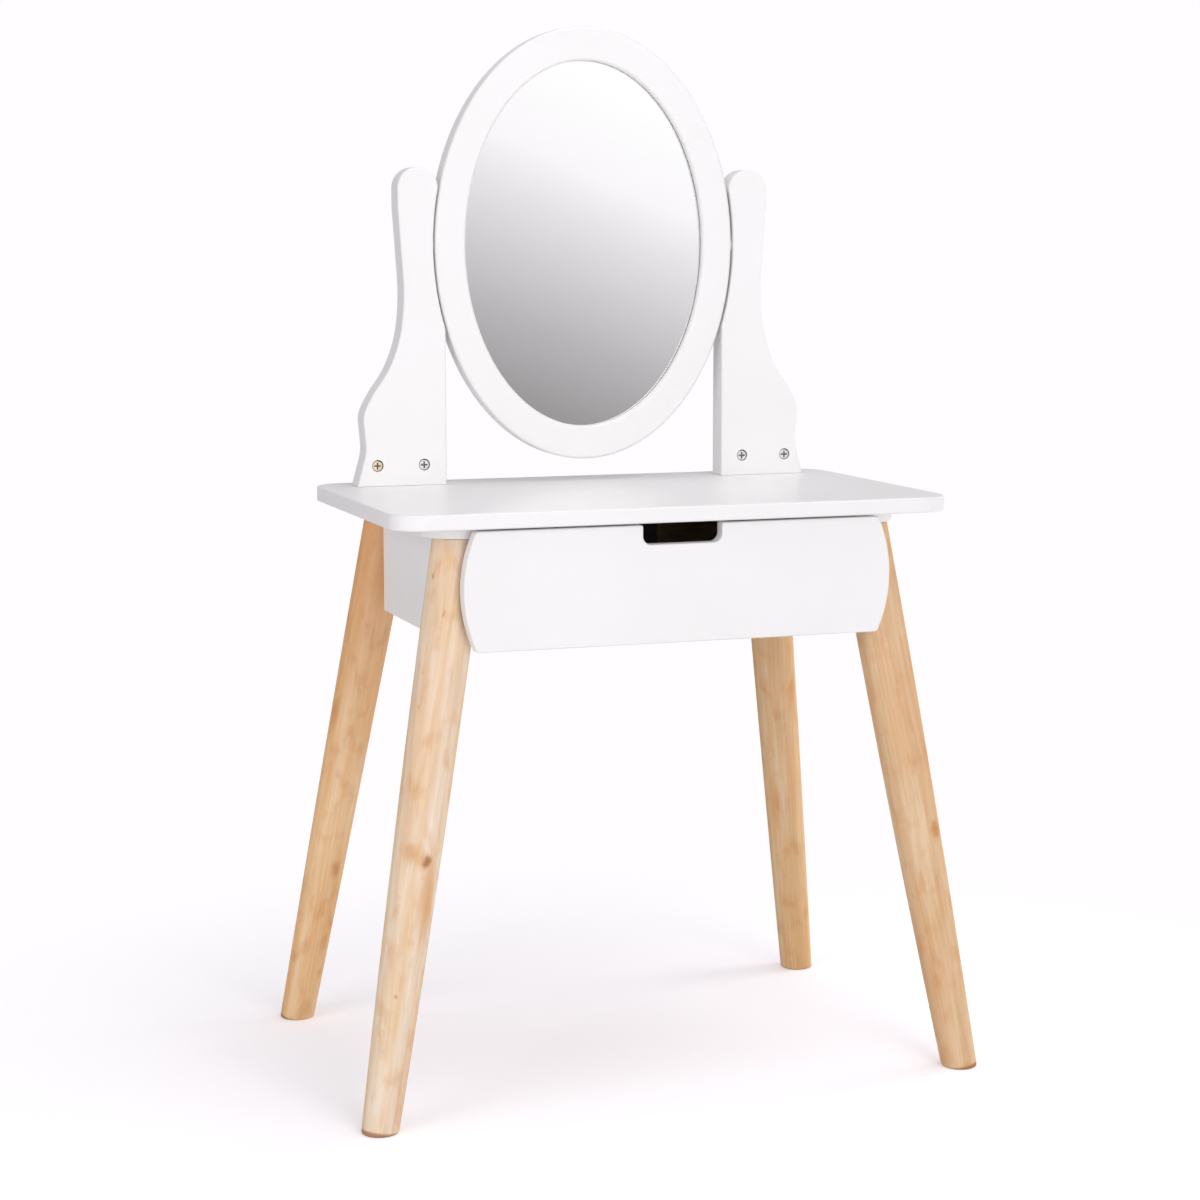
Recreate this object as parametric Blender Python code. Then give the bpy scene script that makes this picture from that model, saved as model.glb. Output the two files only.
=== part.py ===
"""Dressing table with splayed wooden legs, one drawer and an oval mirror that turns between two posts.

Lengths are in metres, +Z is up, the drawer faces -Y and +X is to the right of someone facing the table.
Every place is worked out in the table's own coordinates, which start on the floor under the middle of the
tabletop. One empty carries the whole table and centres it over its footprint.
"""
import math
from typing import NamedTuple

import bmesh
import bpy
from mathutils import Matrix, Vector

# Tabletop, and the board under it that the legs screw into
TABLE_HEIGHT = 0.616
TOP_WIDTH = 0.600
TOP_DEPTH = 0.360
TOP_THICK = 0.016
TOP_CORNER = 0.035
BOARD_THICK = 0.012
BOARD_CORNER = 0.045
BOARD_SIDE_INSET = 0.042
BOARD_FRONT_INSET = 0.030
BOARD_BACK_INSET = 0.005
BOARD_NOTCH_WIDTH = 0.160
BOARD_NOTCH_DEPTH = 0.075
BOARD_NOTCH_CORNER = 0.020

# Legs, from the middle of the top to the middle of the foot
LEG_TOP_RADIUS = 0.027
LEG_FOOT_RADIUS = 0.0188
LEG_BELLY = 0.0008
LEG_BELLY_STEPS = 6
LEG_FOOT_EASING = 0.003
LEG_SIDE_MARGIN = 0.011
LEG_BACK_MARGIN = 0.002
LEG_TO_FRONT = 0.004
LEG_FRONT_SPLAY_X = 0.101
LEG_FRONT_SPLAY_Y = 0.051
LEG_REAR_SPLAY_X = 0.091
LEG_REAR_SPLAY_Y = 0.094
LEG_BOLT_RADIUS = 0.004
LEG_BOLT_DEPTH = 0.040
LEG_BOLT_TIP = 0.001
LEG_NUT_WALL = 0.0015
LEG_NUT_FLANGE = 0.0012
LEG_NUT_FLANGE_RADIUS = 0.0105

# Case under the top
CASE_HEIGHT = 0.1055
CASE_SIDE_THICK = 0.015
CASE_BACK_THICK = 0.009
CASE_BACK_INSET = 0.008
CASE_HOUSING = 0.004
CASE_TO_LEG = 0.0015

# Drawer front, with its bulging ends and its finger slot
FRONT_SETBACK = 0.0085
FRONT_THICK = 0.015
FRONT_HEIGHT = 0.1205
FRONT_TOP_GAP = 0.0025
FRONT_OVERLAP = 0.010
FRONT_BULGE = 0.0135
SLOT_WIDTH = 0.085
SLOT_DEPTH = 0.020
SLOT_CORNER = 0.009

# Drawer box and what it runs on
BOX_TO_LEG = 0.001
BOX_HEIGHT = 0.080
BOX_BOARD = 0.012
BOX_TOP_DROP = 0.0035
BOTTOM_THICK = 0.004
BOTTOM_RISE = 0.008
BOTTOM_HOUSING = 0.005
RUNNER_HEIGHT = 0.026
TONGUE_RISE = 0.038
TONGUE_HEIGHT = 0.010
TONGUE_REACH = 0.0055
RUNNER_PLAY = 0.0015
SLIDE_PLAY = 0.0007
DRAWER_TRAVEL = 0.130
STOP_WIDTH = 0.030
STOP_DEPTH = 0.016
STOP_DROP = 0.0215

# Mirror
MIRROR_HALF_WIDTH = 0.172
MIRROR_HALF_HEIGHT = 0.235
MIRROR_THICK = 0.025
MIRROR_TO_TOP = 0.0235
OPENING_HALF_WIDTH = 0.1375
OPENING_HALF_HEIGHT = 0.1985
REBATE_LIP = 0.0125
REBATE_DEPTH = 0.0173
GLASS_THICK = 0.004
GLASS_LAP = 0.004
BACKING_THICK = 0.0025
PIN_RADIUS = 0.004
PIN_SEAT = 0.015
PIN_TIP = 0.001

# Posts and the bushes for the mirror's pins
MIRROR_GAP = 0.002
POST_THICK = 0.028
POST_BACK_INSET = 0.028
POST_BASE_WIDTH = 0.100
POST_LAP = 0.013
POST_HEIGHT = 0.341
POST_HEAD_RADIUS = 0.0225
BUSH_WALL = 0.002
BUSH_LENGTH = 0.017
BUSH_FLANGE = 0.0012
BUSH_FLANGE_RADIUS = 0.009

# Cam fittings at the foot of each post
CAM_RADIUS = 0.0060
CAM_LENGTH = 0.0195
CAM_RIM = 0.0008
CAM_RISE = 0.0223
CAM_INNER_INSET = 0.0253
CAM_OUTER_INSET = 0.0227
CAM_RECESS = 0.0010
CAM_SLOT_LENGTH = 0.0076
CAM_SLOT_WIDTH = 0.0014
CAM_SLOT_DEPTH = 0.0015
CAM_BOLT_RADIUS = 0.003
CAM_BOLT_DEPTH = 0.010
CAM_BOLT_TIP = 0.001
CAM_BOLT_NECK_RADIUS = 0.0021
CAM_BOLT_COLLAR = 0.002
CAM_BOLT_HEAD_RADIUS = 0.0034
CAM_BOLT_HEAD = 0.003

# Where the screws sit, and the recess in their heads
RECESS_RADIUS = 0.0012
RECESS_DEPTH = 0.0008
TOP_SCREW_TO_LEG = 0.070
TOP_SCREW_FRONT_INSET = 0.055
TOP_SCREW_BACK_INSET = 0.045
RUNNER_SCREW_INSET = 0.030
FRONT_SCREW_INSET = 0.060

# Edge rounding, clearances and how finely round shapes are drawn
TOP_EASING = 0.0020
BOARD_EASING = 0.0010
CASE_EASING = 0.0008
FRONT_EASING = 0.0015
POST_EASING = 0.0020
FRAME_EASING = 0.0030
SEAT_GAP = 0.0003
RUN_CLEARANCE = 0.0001
OVERRUN = 0.002
EASING_STEPS = 2
CORNER_STEPS = 6
BULGE_STEPS = 12
POST_STEPS = 3
OVAL_STEPS = 72
LEG_SIDES = 28
ROUND_SIDES = 20
SMALL_SIDES = 10


class Screw(NamedTuple):
    """Sizes of one kind of screw."""

    head_radius: float
    head_height: float
    shank_radius: float
    length: float


TOP_SCREW = Screw(head_radius=0.0040, head_height=0.0024, shank_radius=0.0020, length=0.020)
RUNNER_SCREW = Screw(head_radius=0.0034, head_height=0.0020, shank_radius=0.0017, length=0.042)
STOP_SCREW = Screw(head_radius=0.0034, head_height=0.0020, shank_radius=0.0017, length=0.028)
FRONT_SCREW = Screw(head_radius=0.0042, head_height=0.0024, shank_radius=0.0019, length=0.021)
BACKING_SCREW = Screw(head_radius=0.0032, head_height=0.0014, shank_radius=0.0013, length=0.011)

# Heights above the floor
TOP_UNDER = TABLE_HEIGHT - TOP_THICK
BOARD_TOP = TOP_UNDER - SEAT_GAP
BOARD_UNDER = BOARD_TOP - BOARD_THICK
LEG_TOP = BOARD_UNDER - SEAT_GAP
CASE_TOP = LEG_TOP
CASE_UNDER = CASE_TOP - CASE_HEIGHT
FRONT_TOP = TOP_UNDER - FRONT_TOP_GAP
FRONT_UNDER = FRONT_TOP - FRONT_HEIGHT
FRONT_LEVEL = (FRONT_TOP + FRONT_UNDER) / 2
SLOT_FLOOR = FRONT_TOP - SLOT_DEPTH
BOX_TOP = SLOT_FLOOR - BOX_TOP_DROP
BOX_UNDER = BOX_TOP - BOX_HEIGHT
BOTTOM_UNDER = BOX_UNDER + BOTTOM_RISE
BOTTOM_TOP = BOTTOM_UNDER + BOTTOM_THICK
TONGUE_UNDER = BOX_UNDER + TONGUE_RISE
TONGUE_TOP = TONGUE_UNDER + TONGUE_HEIGHT
TONGUE_LEVEL = (TONGUE_UNDER + TONGUE_TOP) / 2
STOP_UNDER = LEG_TOP - STOP_DROP
PIVOT_Z = TABLE_HEIGHT + MIRROR_TO_TOP + MIRROR_HALF_HEIGHT
POST_UNDER = TABLE_HEIGHT + SEAT_GAP
CAM_Z = TABLE_HEIGHT + CAM_RISE

# Places from front to back; the front legs clear the drawer front where its ends bulge most
TOP_FRONT = -TOP_DEPTH / 2
TOP_BACK = TOP_DEPTH / 2
BOARD_FRONT = TOP_FRONT + BOARD_FRONT_INSET
BOARD_BACK = TOP_BACK - BOARD_BACK_INSET
FRONT_FACE = TOP_FRONT + FRONT_SETBACK
FRONT_BACK = FRONT_FACE + FRONT_THICK
FRONT_LEVEL_SHARE = (LEG_TOP - FRONT_LEVEL) / LEG_TOP
LEG_FRONT_Y = FRONT_BACK + LEG_TO_FRONT + LEG_TOP_RADIUS + LEG_FRONT_SPLAY_Y * FRONT_LEVEL_SHARE
LEG_REAR_Y = BOARD_BACK - LEG_BACK_MARGIN - LEG_TOP_RADIUS
CASE_FRONT = LEG_FRONT_Y + LEG_TOP_RADIUS + CASE_TO_LEG
CASE_REAR = LEG_REAR_Y - LEG_TOP_RADIUS - CASE_TO_LEG
CASE_BACK_REAR = CASE_REAR - CASE_BACK_INSET
CASE_BACK_FRONT = CASE_BACK_REAR - CASE_BACK_THICK
BOX_FRONT = FRONT_BACK + SEAT_GAP
BOX_BACK = CASE_BACK_FRONT - SEAT_GAP
STOP_REAR = BOX_BACK - BOX_BOARD - DRAWER_TRAVEL - SEAT_GAP
STOP_FRONT = STOP_REAR - STOP_DEPTH
POST_BACK = TOP_BACK - POST_BACK_INSET
POST_FRONT = POST_BACK - POST_THICK
PIVOT_Y = (POST_FRONT + POST_BACK) / 2
MIRROR_FRONT = PIVOT_Y - MIRROR_THICK / 2
MIRROR_BACK = PIVOT_Y + MIRROR_THICK / 2
REBATE_FRONT = MIRROR_BACK - REBATE_DEPTH
GLASS_FRONT = REBATE_FRONT + SEAT_GAP
BACKING_FRONT = GLASS_FRONT + GLASS_THICK + SEAT_GAP
BACKING_REAR = BACKING_FRONT + BACKING_THICK

# Places from the middle outwards
BOARD_SIDE = TOP_WIDTH / 2 - BOARD_SIDE_INSET
LEG_TOP_X = BOARD_SIDE - LEG_SIDE_MARGIN - LEG_TOP_RADIUS
CASE_INNER = LEG_TOP_X
CASE_OUTER = CASE_INNER + CASE_SIDE_THICK
FRONT_END = LEG_TOP_X + FRONT_OVERLAP
BOX_OUTER = LEG_TOP_X - LEG_TOP_RADIUS - BOX_TO_LEG
BOX_INNER = BOX_OUTER - BOX_BOARD
BOTTOM_EDGE = BOX_INNER + BOTTOM_HOUSING
TONGUE_TIP = BOX_OUTER - TONGUE_REACH
TOP_SCREW_X = LEG_TOP_X - TOP_SCREW_TO_LEG
FRONT_SCREW_X = BOX_INNER - FRONT_SCREW_INSET
MIRROR_SEAT = MIRROR_HALF_WIDTH + MIRROR_GAP
POST_BASE_INNER = MIRROR_SEAT - POST_LAP
POST_BASE_OUTER = POST_BASE_INNER + POST_BASE_WIDTH
BUSH_BORE = PIN_RADIUS + RUN_CLEARANCE
BUSH_RADIUS = BUSH_BORE + BUSH_WALL

# The posts' outer edge, up from the base: shares of the base's width from its inner end, and of the height
POST_EDGE_SHARES = (
    (1.000, 0.000),
    (0.950, 0.053),
    (0.903, 0.112),
    (0.918, 0.180),
    (0.918, 0.228),
    (0.820, 0.288),
    (0.632, 0.372),
    (0.508, 0.475),
    (0.466, 0.600),
    (0.492, 0.745),
    (0.522, 0.870),
)

SIDES = {"left": -1, "right": 1}


class Look(NamedTuple):
    """A finish: colour as sRGB hex, roughness and metallic value."""

    colour: str
    roughness: float
    metallic: float


WHITE_PAINT = Look(colour="F3F1F1", roughness=0.38, metallic=0)
INNER_PAINT = Look(colour="E4E1E0", roughness=0.42, metallic=0)
PALE_WOOD = Look(colour="D9B588", roughness=0.45, metallic=0)
BOX_WOOD = Look(colour="D8C3A0", roughness=0.55, metallic=0)
HARDBOARD = Look(colour="8A6A4A", roughness=0.70, metallic=0)
SILVERED_GLASS = Look(colour="DADCDD", roughness=0.03, metallic=1)
STEEL = Look(colour="B9BABC", roughness=0.30, metallic=1)
YELLOW_ZINC = Look(colour="C8A765", roughness=0.32, metallic=1)
NYLON = Look(colour="ECEAE4", roughness=0.50, metallic=0)


class Carrier(NamedTuple):
    """An empty that carries pieces, and its place in the table's coordinates."""

    empty: bpy.types.Object
    at: Vector


def clear_scene():
    """Removes whatever the scene holds."""
    for item in list(bpy.data.objects):
        bpy.data.objects.remove(item, do_unlink=True)


def linear(colour):
    """sRGB hex to linear RGBA."""
    channels = [int(colour[i:i + 2], 16) / 255 for i in (0, 2, 4)]
    return [c / 12.92 if c <= 0.04045 else ((c + 0.055) / 1.055) ** 2.4 for c in channels] + [1]


def carrier(name, at, parent=None):
    """An empty at a place in the table's coordinates, on its own or under another."""
    empty = bpy.data.objects.new(name, None)
    bpy.context.collection.objects.link(empty)
    at = Vector(at)
    if parent:
        empty.parent = parent.empty
        empty.location = at - parent.at
    else:
        empty.location = at
    return Carrier(empty, at)


def solid(name, points, faces, soft_edges=()):
    """A closed mesh object; soft_edges are pairs of point numbers that ease() will round."""
    mesh = bpy.data.meshes.new(name)
    mesh.from_pydata(points, [], faces)
    shape = bmesh.new()
    shape.from_mesh(mesh)
    shape.verts.ensure_lookup_table()
    weight = shape.edges.layers.float.new("bevel_weight_edge")
    for first, second in soft_edges:
        shape.edges.get((shape.verts[first], shape.verts[second]))[weight] = 1
    bmesh.ops.recalc_face_normals(shape, faces=shape.faces)
    shape.to_mesh(mesh)
    shape.free()
    item = bpy.data.objects.new(name, mesh)
    bpy.context.collection.objects.link(item)
    return item


def settle(item):
    """Turns an object's modifiers into plain mesh."""
    bpy.context.view_layer.update()
    view = bpy.context.evaluated_depsgraph_get()
    mesh = bpy.data.meshes.new_from_object(item.evaluated_get(view))
    item.modifiers.clear()
    item.data = mesh


def ease(item, width):
    """Rounds the edges that carry a bevel weight."""
    bevel = item.modifiers.new("easing", "BEVEL")
    bevel.limit_method = "WEIGHT"
    bevel.width = width
    bevel.segments = EASING_STEPS
    settle(item)


def cut(item, cutters):
    """Takes the cutters out of an object and removes them."""
    for cutter in cutters:
        boolean = item.modifiers.new("cut", "BOOLEAN")
        boolean.operation = "DIFFERENCE"
        boolean.solver = "EXACT"
        boolean.object = cutter
    settle(item)
    for cutter in cutters:
        bpy.data.objects.remove(cutter, do_unlink=True)


def place(item, owner, look):
    """Puts a piece's origin at its middle, hangs it on its carrier, shades it and gives it its finish."""
    corners = [Vector(corner) for corner in item.bound_box]
    middle = (corners[0] + corners[6]) / 2
    item.data.transform(Matrix.Translation(-middle))
    item.parent = owner.empty
    item.location = middle - owner.at
    item.data.shade_smooth()
    item.data.set_sharp_from_angle(angle=math.radians(35))
    material = bpy.data.materials.new(item.name + "_finish")
    material.use_nodes = True
    shader = material.node_tree.nodes["Principled BSDF"]
    shader.inputs["Base Color"].default_value = linear(look.colour)
    shader.inputs["Roughness"].default_value = look.roughness
    shader.inputs["Metallic"].default_value = look.metallic
    material.diffuse_color = linear(look.colour)
    item.data.materials.clear()
    item.data.materials.append(material)


def arc(middle, radius, start, end, steps):
    """Points along an arc, from one angle in degrees to another."""
    turns = [math.radians(start + (end - start) * i / steps) for i in range(steps + 1)]
    return [(middle[0] + radius * math.cos(t), middle[1] + radius * math.sin(t)) for t in turns]


def rectangle(left, right, low, high):
    """Outline of a plain rectangle, anticlockwise."""
    return [(left, low), (right, low), (right, high), (left, high)]


def round_rectangle(left, right, low, high, corner):
    """Outline of a rectangle with round corners, anticlockwise."""
    return (arc((right - corner, low + corner), corner, -90, 0, CORNER_STEPS)
            + arc((right - corner, high - corner), corner, 0, 90, CORNER_STEPS)
            + arc((left + corner, high - corner), corner, 90, 180, CORNER_STEPS)
            + arc((left + corner, low + corner), corner, 180, 270, CORNER_STEPS))


def oval(half_width, half_height):
    """Outline of an upright oval round the mirror's middle."""
    turns = [2 * math.pi * i / OVAL_STEPS for i in range(OVAL_STEPS)]
    return [(half_width * math.cos(t), PIVOT_Z + half_height * math.sin(t)) for t in turns]


def curve_through(knots, steps):
    """Points on a smooth curve through the knots, as a Catmull-Rom spline."""
    padded = [Vector(knot) for knot in (knots[0], *knots, knots[-1])]
    points = []
    for before, start, end, after in zip(padded, padded[1:], padded[2:], padded[3:]):
        bend = 2 * before - 5 * start + 4 * end - after
        twist = 3 * start - before - 3 * end + after
        for i in range(steps):
            t = i / steps
            points.append(tuple((2 * start + (end - before) * t + bend * t ** 2 + twist * t ** 3) / 2))
    points.append(tuple(padded[-1]))
    return points


def on_axis(axis, u, v, w):
    """The point (u, v) of an outline, at w along the axis that the outline faces."""
    return {"x": (w, u, v), "y": (u, w, v), "z": (u, v, w)}[axis]


def prism(name, outline, low, high, axis, easing=0, keep_sharp=None):
    """Straight extrusion of an outline along an axis, with the rims of its ends eased.

    keep_sharp is a test of two neighbouring outline points that leaves the rims between them unrounded.
    """
    count = len(outline)
    points = [on_axis(axis, u, v, w) for w in (low, high) for u, v in outline]
    faces = [(i, (i + 1) % count, count + (i + 1) % count, count + i) for i in range(count)]
    faces += [tuple(range(count)), tuple(range(2 * count - 1, count - 1, -1))]
    soft = []
    for i in range(count):
        following = (i + 1) % count
        if easing and not (keep_sharp and keep_sharp(outline[i], outline[following])):
            soft += [(i, following), (count + i, count + following)]
    item = solid(name, points, faces, soft)
    if easing:
        ease(item, easing)
    return item


def turned(name, profile, foot, direction, sides, hollow=False):
    """Body of revolution: profile is (radius, height) pairs, with heights from foot along direction."""
    turn = Vector((0, 0, 1)).rotation_difference(Vector(direction)).to_matrix()
    points = []
    rings = []
    for radius, height in profile:
        around = sides if radius else 1
        rings.append(range(len(points), len(points) + around))
        for i in range(around):
            angle = 2 * math.pi * i / sides
            spoke = Vector((radius * math.cos(angle), radius * math.sin(angle), height))
            points.append(Vector(foot) + turn @ spoke)
    pairs = list(zip(rings, rings[1:]))
    if hollow:
        pairs.append((rings[-1], rings[0]))
    faces = []
    for lower, upper in pairs:
        for i in range(sides):
            j = (i + 1) % sides
            if len(lower) == 1:
                faces.append((lower[0], upper[j], upper[i]))
            elif len(upper) == 1:
                faces.append((lower[i], lower[j], upper[0]))
            else:
                faces.append((lower[i], lower[j], upper[j], upper[i]))
    return solid(name, points, faces)


def drill(foot, direction, radius, length, sides=ROUND_SIDES):
    """A round cutter from a place along a direction."""
    return turned("cutter", [(0, 0), (radius, 0), (radius, length), (0, length)], foot, direction, sides)


def countersunk(name, head, direction, screw):
    """A countersunk screw: head is the middle of its head's face and direction runs into the material."""
    profile = [(0, RECESS_DEPTH), (RECESS_RADIUS, RECESS_DEPTH), (RECESS_RADIUS, 0), (screw.head_radius, 0),
               (screw.shank_radius, screw.head_height),
               (screw.shank_radius, screw.length - screw.shank_radius),
               (0, screw.length)]
    return turned(name, profile, head, direction, SMALL_SIDES)


def countersink(head, direction, screw):
    """The cutter for a countersunk screw, clear of it by the seat gap."""
    wide = screw.head_radius + SEAT_GAP
    narrow = screw.shank_radius + SEAT_GAP
    end = screw.length + SEAT_GAP
    profile = [(0, -OVERRUN), (wide, -OVERRUN), (wide, 0), (narrow, screw.head_height), (narrow, end),
               (0, end)]
    return turned("cutter", profile, head, direction, SMALL_SIDES)


def pan_head(name, seat, direction, screw):
    """A pan-head screw: seat is where its head rests and direction runs into the material."""
    crown = screw.head_height / 2
    rim = screw.head_radius
    profile = [(0, RECESS_DEPTH - screw.head_height), (RECESS_RADIUS, RECESS_DEPTH - screw.head_height),
               (RECESS_RADIUS, -screw.head_height), (rim - crown, -screw.head_height), (rim, -crown),
               (rim, 0), (screw.shank_radius, 0),
               (screw.shank_radius, screw.length - screw.shank_radius), (0, screw.length)]
    start = Vector(seat) - Vector(direction) * SEAT_GAP
    return turned(name, profile, start, direction, SMALL_SIDES)


def pilot(seat, direction, screw):
    """The cutter for a pan-head screw's shank."""
    start = Vector(seat) - Vector(direction) * OVERRUN
    return drill(start, direction, screw.shank_radius + SEAT_GAP, OVERRUN + screw.length, SMALL_SIDES)


def leg_places():
    """The middle of each leg's top and foot, by the leg's place."""
    places = {}
    for side, sign in SIDES.items():
        top = Vector((sign * LEG_TOP_X, LEG_FRONT_Y, LEG_TOP))
        foot = Vector((sign * (LEG_TOP_X + LEG_FRONT_SPLAY_X), LEG_FRONT_Y - LEG_FRONT_SPLAY_Y, 0))
        places["front_" + side] = (top, foot)
        top = Vector((sign * LEG_TOP_X, LEG_REAR_Y, LEG_TOP))
        foot = Vector((sign * (LEG_TOP_X + LEG_REAR_SPLAY_X), LEG_REAR_Y + LEG_REAR_SPLAY_Y, 0))
        places["rear_" + side] = (top, foot)
    return places


def cam_places():
    """The middle of each cam's face, by the post's side and the cam's row."""
    rows = {"inner": POST_BASE_INNER + CAM_INNER_INSET, "outer": POST_BASE_OUTER - CAM_OUTER_INSET}
    return {(side, row): Vector((sign * x, POST_FRONT + CAM_RECESS, CAM_Z))
            for side, sign in SIDES.items() for row, x in rows.items()}


def top_screw_heads():
    """Where the screws go up through the board into the tabletop."""
    rows = {"front": TOP_FRONT + TOP_SCREW_FRONT_INSET, "rear": TOP_BACK - TOP_SCREW_BACK_INSET}
    return {f"{row}_{side}": (sign * TOP_SCREW_X, y, BOARD_UNDER)
            for row, y in rows.items() for side, sign in SIDES.items()}


def runner_screw_heads(sign):
    """Where the screws go through a runner's tongue into the side of the case."""
    rows = {"front": CASE_FRONT + RUNNER_SCREW_INSET, "rear": CASE_BACK_FRONT - RUNNER_SCREW_INSET}
    return {row: (sign * TONGUE_TIP, y, TONGUE_LEVEL) for row, y in rows.items()}


def stop_screw_head():
    """Where the screw goes up through the stop."""
    return (0, (STOP_FRONT + STOP_REAR) / 2, STOP_UNDER)


def front_screw_seats():
    """Where the drawer front's screws seat, inside the drawer."""
    return {side: (sign * FRONT_SCREW_X, BOX_FRONT + BOX_BOARD, FRONT_LEVEL) for side, sign in SIDES.items()}


def backing_screw_seats():
    """Where the backing's screws seat, between the glass and the rebate's wall, at the oval's four ends."""
    offset = (GLASS_LAP + REBATE_LIP) / 2
    wide = OPENING_HALF_WIDTH + offset
    tall = OPENING_HALF_HEIGHT + offset
    return {"top": (0, BACKING_REAR, PIVOT_Z + tall), "bottom": (0, BACKING_REAR, PIVOT_Z - tall),
            "left": (-wide, BACKING_REAR, PIVOT_Z), "right": (wide, BACKING_REAR, PIVOT_Z)}


def make_tabletop(table):
    """The top: a round-cornered board, bored from above for the cam bolts and from below for its screws."""
    outline = round_rectangle(-TOP_WIDTH / 2, TOP_WIDTH / 2, TOP_FRONT, TOP_BACK, TOP_CORNER)
    top = prism("tabletop", outline, TOP_UNDER, TABLE_HEIGHT, "z", TOP_EASING)
    cutters = [drill((cam.x, PIVOT_Y, TABLE_HEIGHT + OVERRUN), (0, 0, -1), CAM_BOLT_RADIUS + SEAT_GAP,
                     OVERRUN + CAM_BOLT_DEPTH + SEAT_GAP, SMALL_SIDES) for cam in cam_places().values()]
    cutters += [countersink(head, (0, 0, 1), TOP_SCREW) for head in top_screw_heads().values()]
    cut(top, cutters)
    place(top, table, WHITE_PAINT)


def make_leg_board(table):
    """The board under the top, and its screws.

    It is bored for the legs' nuts, grooved for the case's sides and notched in front, so that fingers
    reaching through the drawer's slot have room.
    """
    outline = round_rectangle(-BOARD_SIDE, BOARD_SIDE, BOARD_FRONT, BOARD_BACK, BOARD_CORNER)
    board = prism("leg_board", outline, BOARD_UNDER, BOARD_TOP, "z", BOARD_EASING)
    barrel = LEG_BOLT_RADIUS + SEAT_GAP + LEG_NUT_WALL + SEAT_GAP
    wide = LEG_NUT_FLANGE_RADIUS + SEAT_GAP
    shelf = BOARD_THICK - LEG_NUT_FLANGE - SEAT_GAP
    end = BOARD_THICK + OVERRUN
    profile = [(0, -OVERRUN), (barrel, -OVERRUN), (barrel, shelf), (wide, shelf), (wide, end), (0, end)]
    cutters = [turned("cutter", profile, (top.x, top.y, BOARD_UNDER), (0, 0, 1), ROUND_SIDES)
               for top, _ in leg_places().values()]
    cutters += [countersink(head, (0, 0, 1), TOP_SCREW) for head in top_screw_heads().values()]
    cutters.append(countersink(stop_screw_head(), (0, 0, 1), STOP_SCREW))
    groove_roof = CASE_TOP + CASE_HOUSING + SEAT_GAP
    for sign in SIDES.values():
        low, high = sorted((sign * (CASE_INNER - SEAT_GAP), sign * (CASE_OUTER + SEAT_GAP)))
        groove = rectangle(low, high, CASE_FRONT - SEAT_GAP, CASE_REAR + SEAT_GAP)
        cutters.append(prism("cutter", groove, BOARD_UNDER - OVERRUN, groove_roof, "z"))
    notch_start = BOARD_FRONT - BOARD_NOTCH_CORNER - OVERRUN
    notch = round_rectangle(-BOARD_NOTCH_WIDTH / 2, BOARD_NOTCH_WIDTH / 2, notch_start,
                            BOARD_FRONT + BOARD_NOTCH_DEPTH, BOARD_NOTCH_CORNER)
    cutters.append(prism("cutter", notch, BOARD_UNDER - OVERRUN, BOARD_TOP + OVERRUN, "z"))
    cut(board, cutters)
    place(board, table, WHITE_PAINT)
    for name, head in top_screw_heads().items():
        place(countersunk("top_screw_" + name, head, (0, 0, 1), TOP_SCREW), table, STEEL)


def make_leg(name, top, foot, table):
    """A tapered round leg on a slanted axis, a little fuller halfway up, cut level at top and foot.

    Its foot's rim is eased.
    """
    axis = (top - foot).normalized()
    across = axis.cross(Vector((0, 1, 0))).normalized()
    deep = axis.cross(across)
    length = (top - foot).length
    stations = []
    for i in range(EASING_STEPS + 1):
        turn = math.pi / 2 * i / EASING_STEPS
        rise = LEG_FOOT_EASING * (1 - math.cos(turn))
        stations.append((rise / length, LEG_FOOT_RADIUS - LEG_FOOT_EASING * (1 - math.sin(turn))))
    for i in range(1, LEG_BELLY_STEPS + 1):
        share = i / LEG_BELLY_STEPS
        straight = LEG_FOOT_RADIUS + (LEG_TOP_RADIUS - LEG_FOOT_RADIUS) * share
        stations.append((share, straight + LEG_BELLY * 4 * share * (1 - share)))
    points = []
    for share, radius in stations:
        middle = foot.lerp(top, share)
        for i in range(LEG_SIDES):
            angle = 2 * math.pi * i / LEG_SIDES
            spoke = (across * math.cos(angle) + deep * math.sin(angle)) * radius
            points.append(middle + spoke - axis * (spoke.z / axis.z))
    faces = [tuple(range(LEG_SIDES)), tuple(range(len(points) - LEG_SIDES, len(points)))]
    for low in range(0, len(points) - LEG_SIDES, LEG_SIDES):
        for i in range(LEG_SIDES):
            j = (i + 1) % LEG_SIDES
            faces.append((low + i, low + j, low + LEG_SIDES + j, low + LEG_SIDES + i))
    leg = solid("leg_" + name, points, faces)
    cut(leg, [drill((top.x, top.y, top.z + OVERRUN), (0, 0, -1), LEG_BOLT_RADIUS + SEAT_GAP,
                    OVERRUN + LEG_BOLT_DEPTH + SEAT_GAP)])
    place(leg, table, PALE_WOOD)


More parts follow.
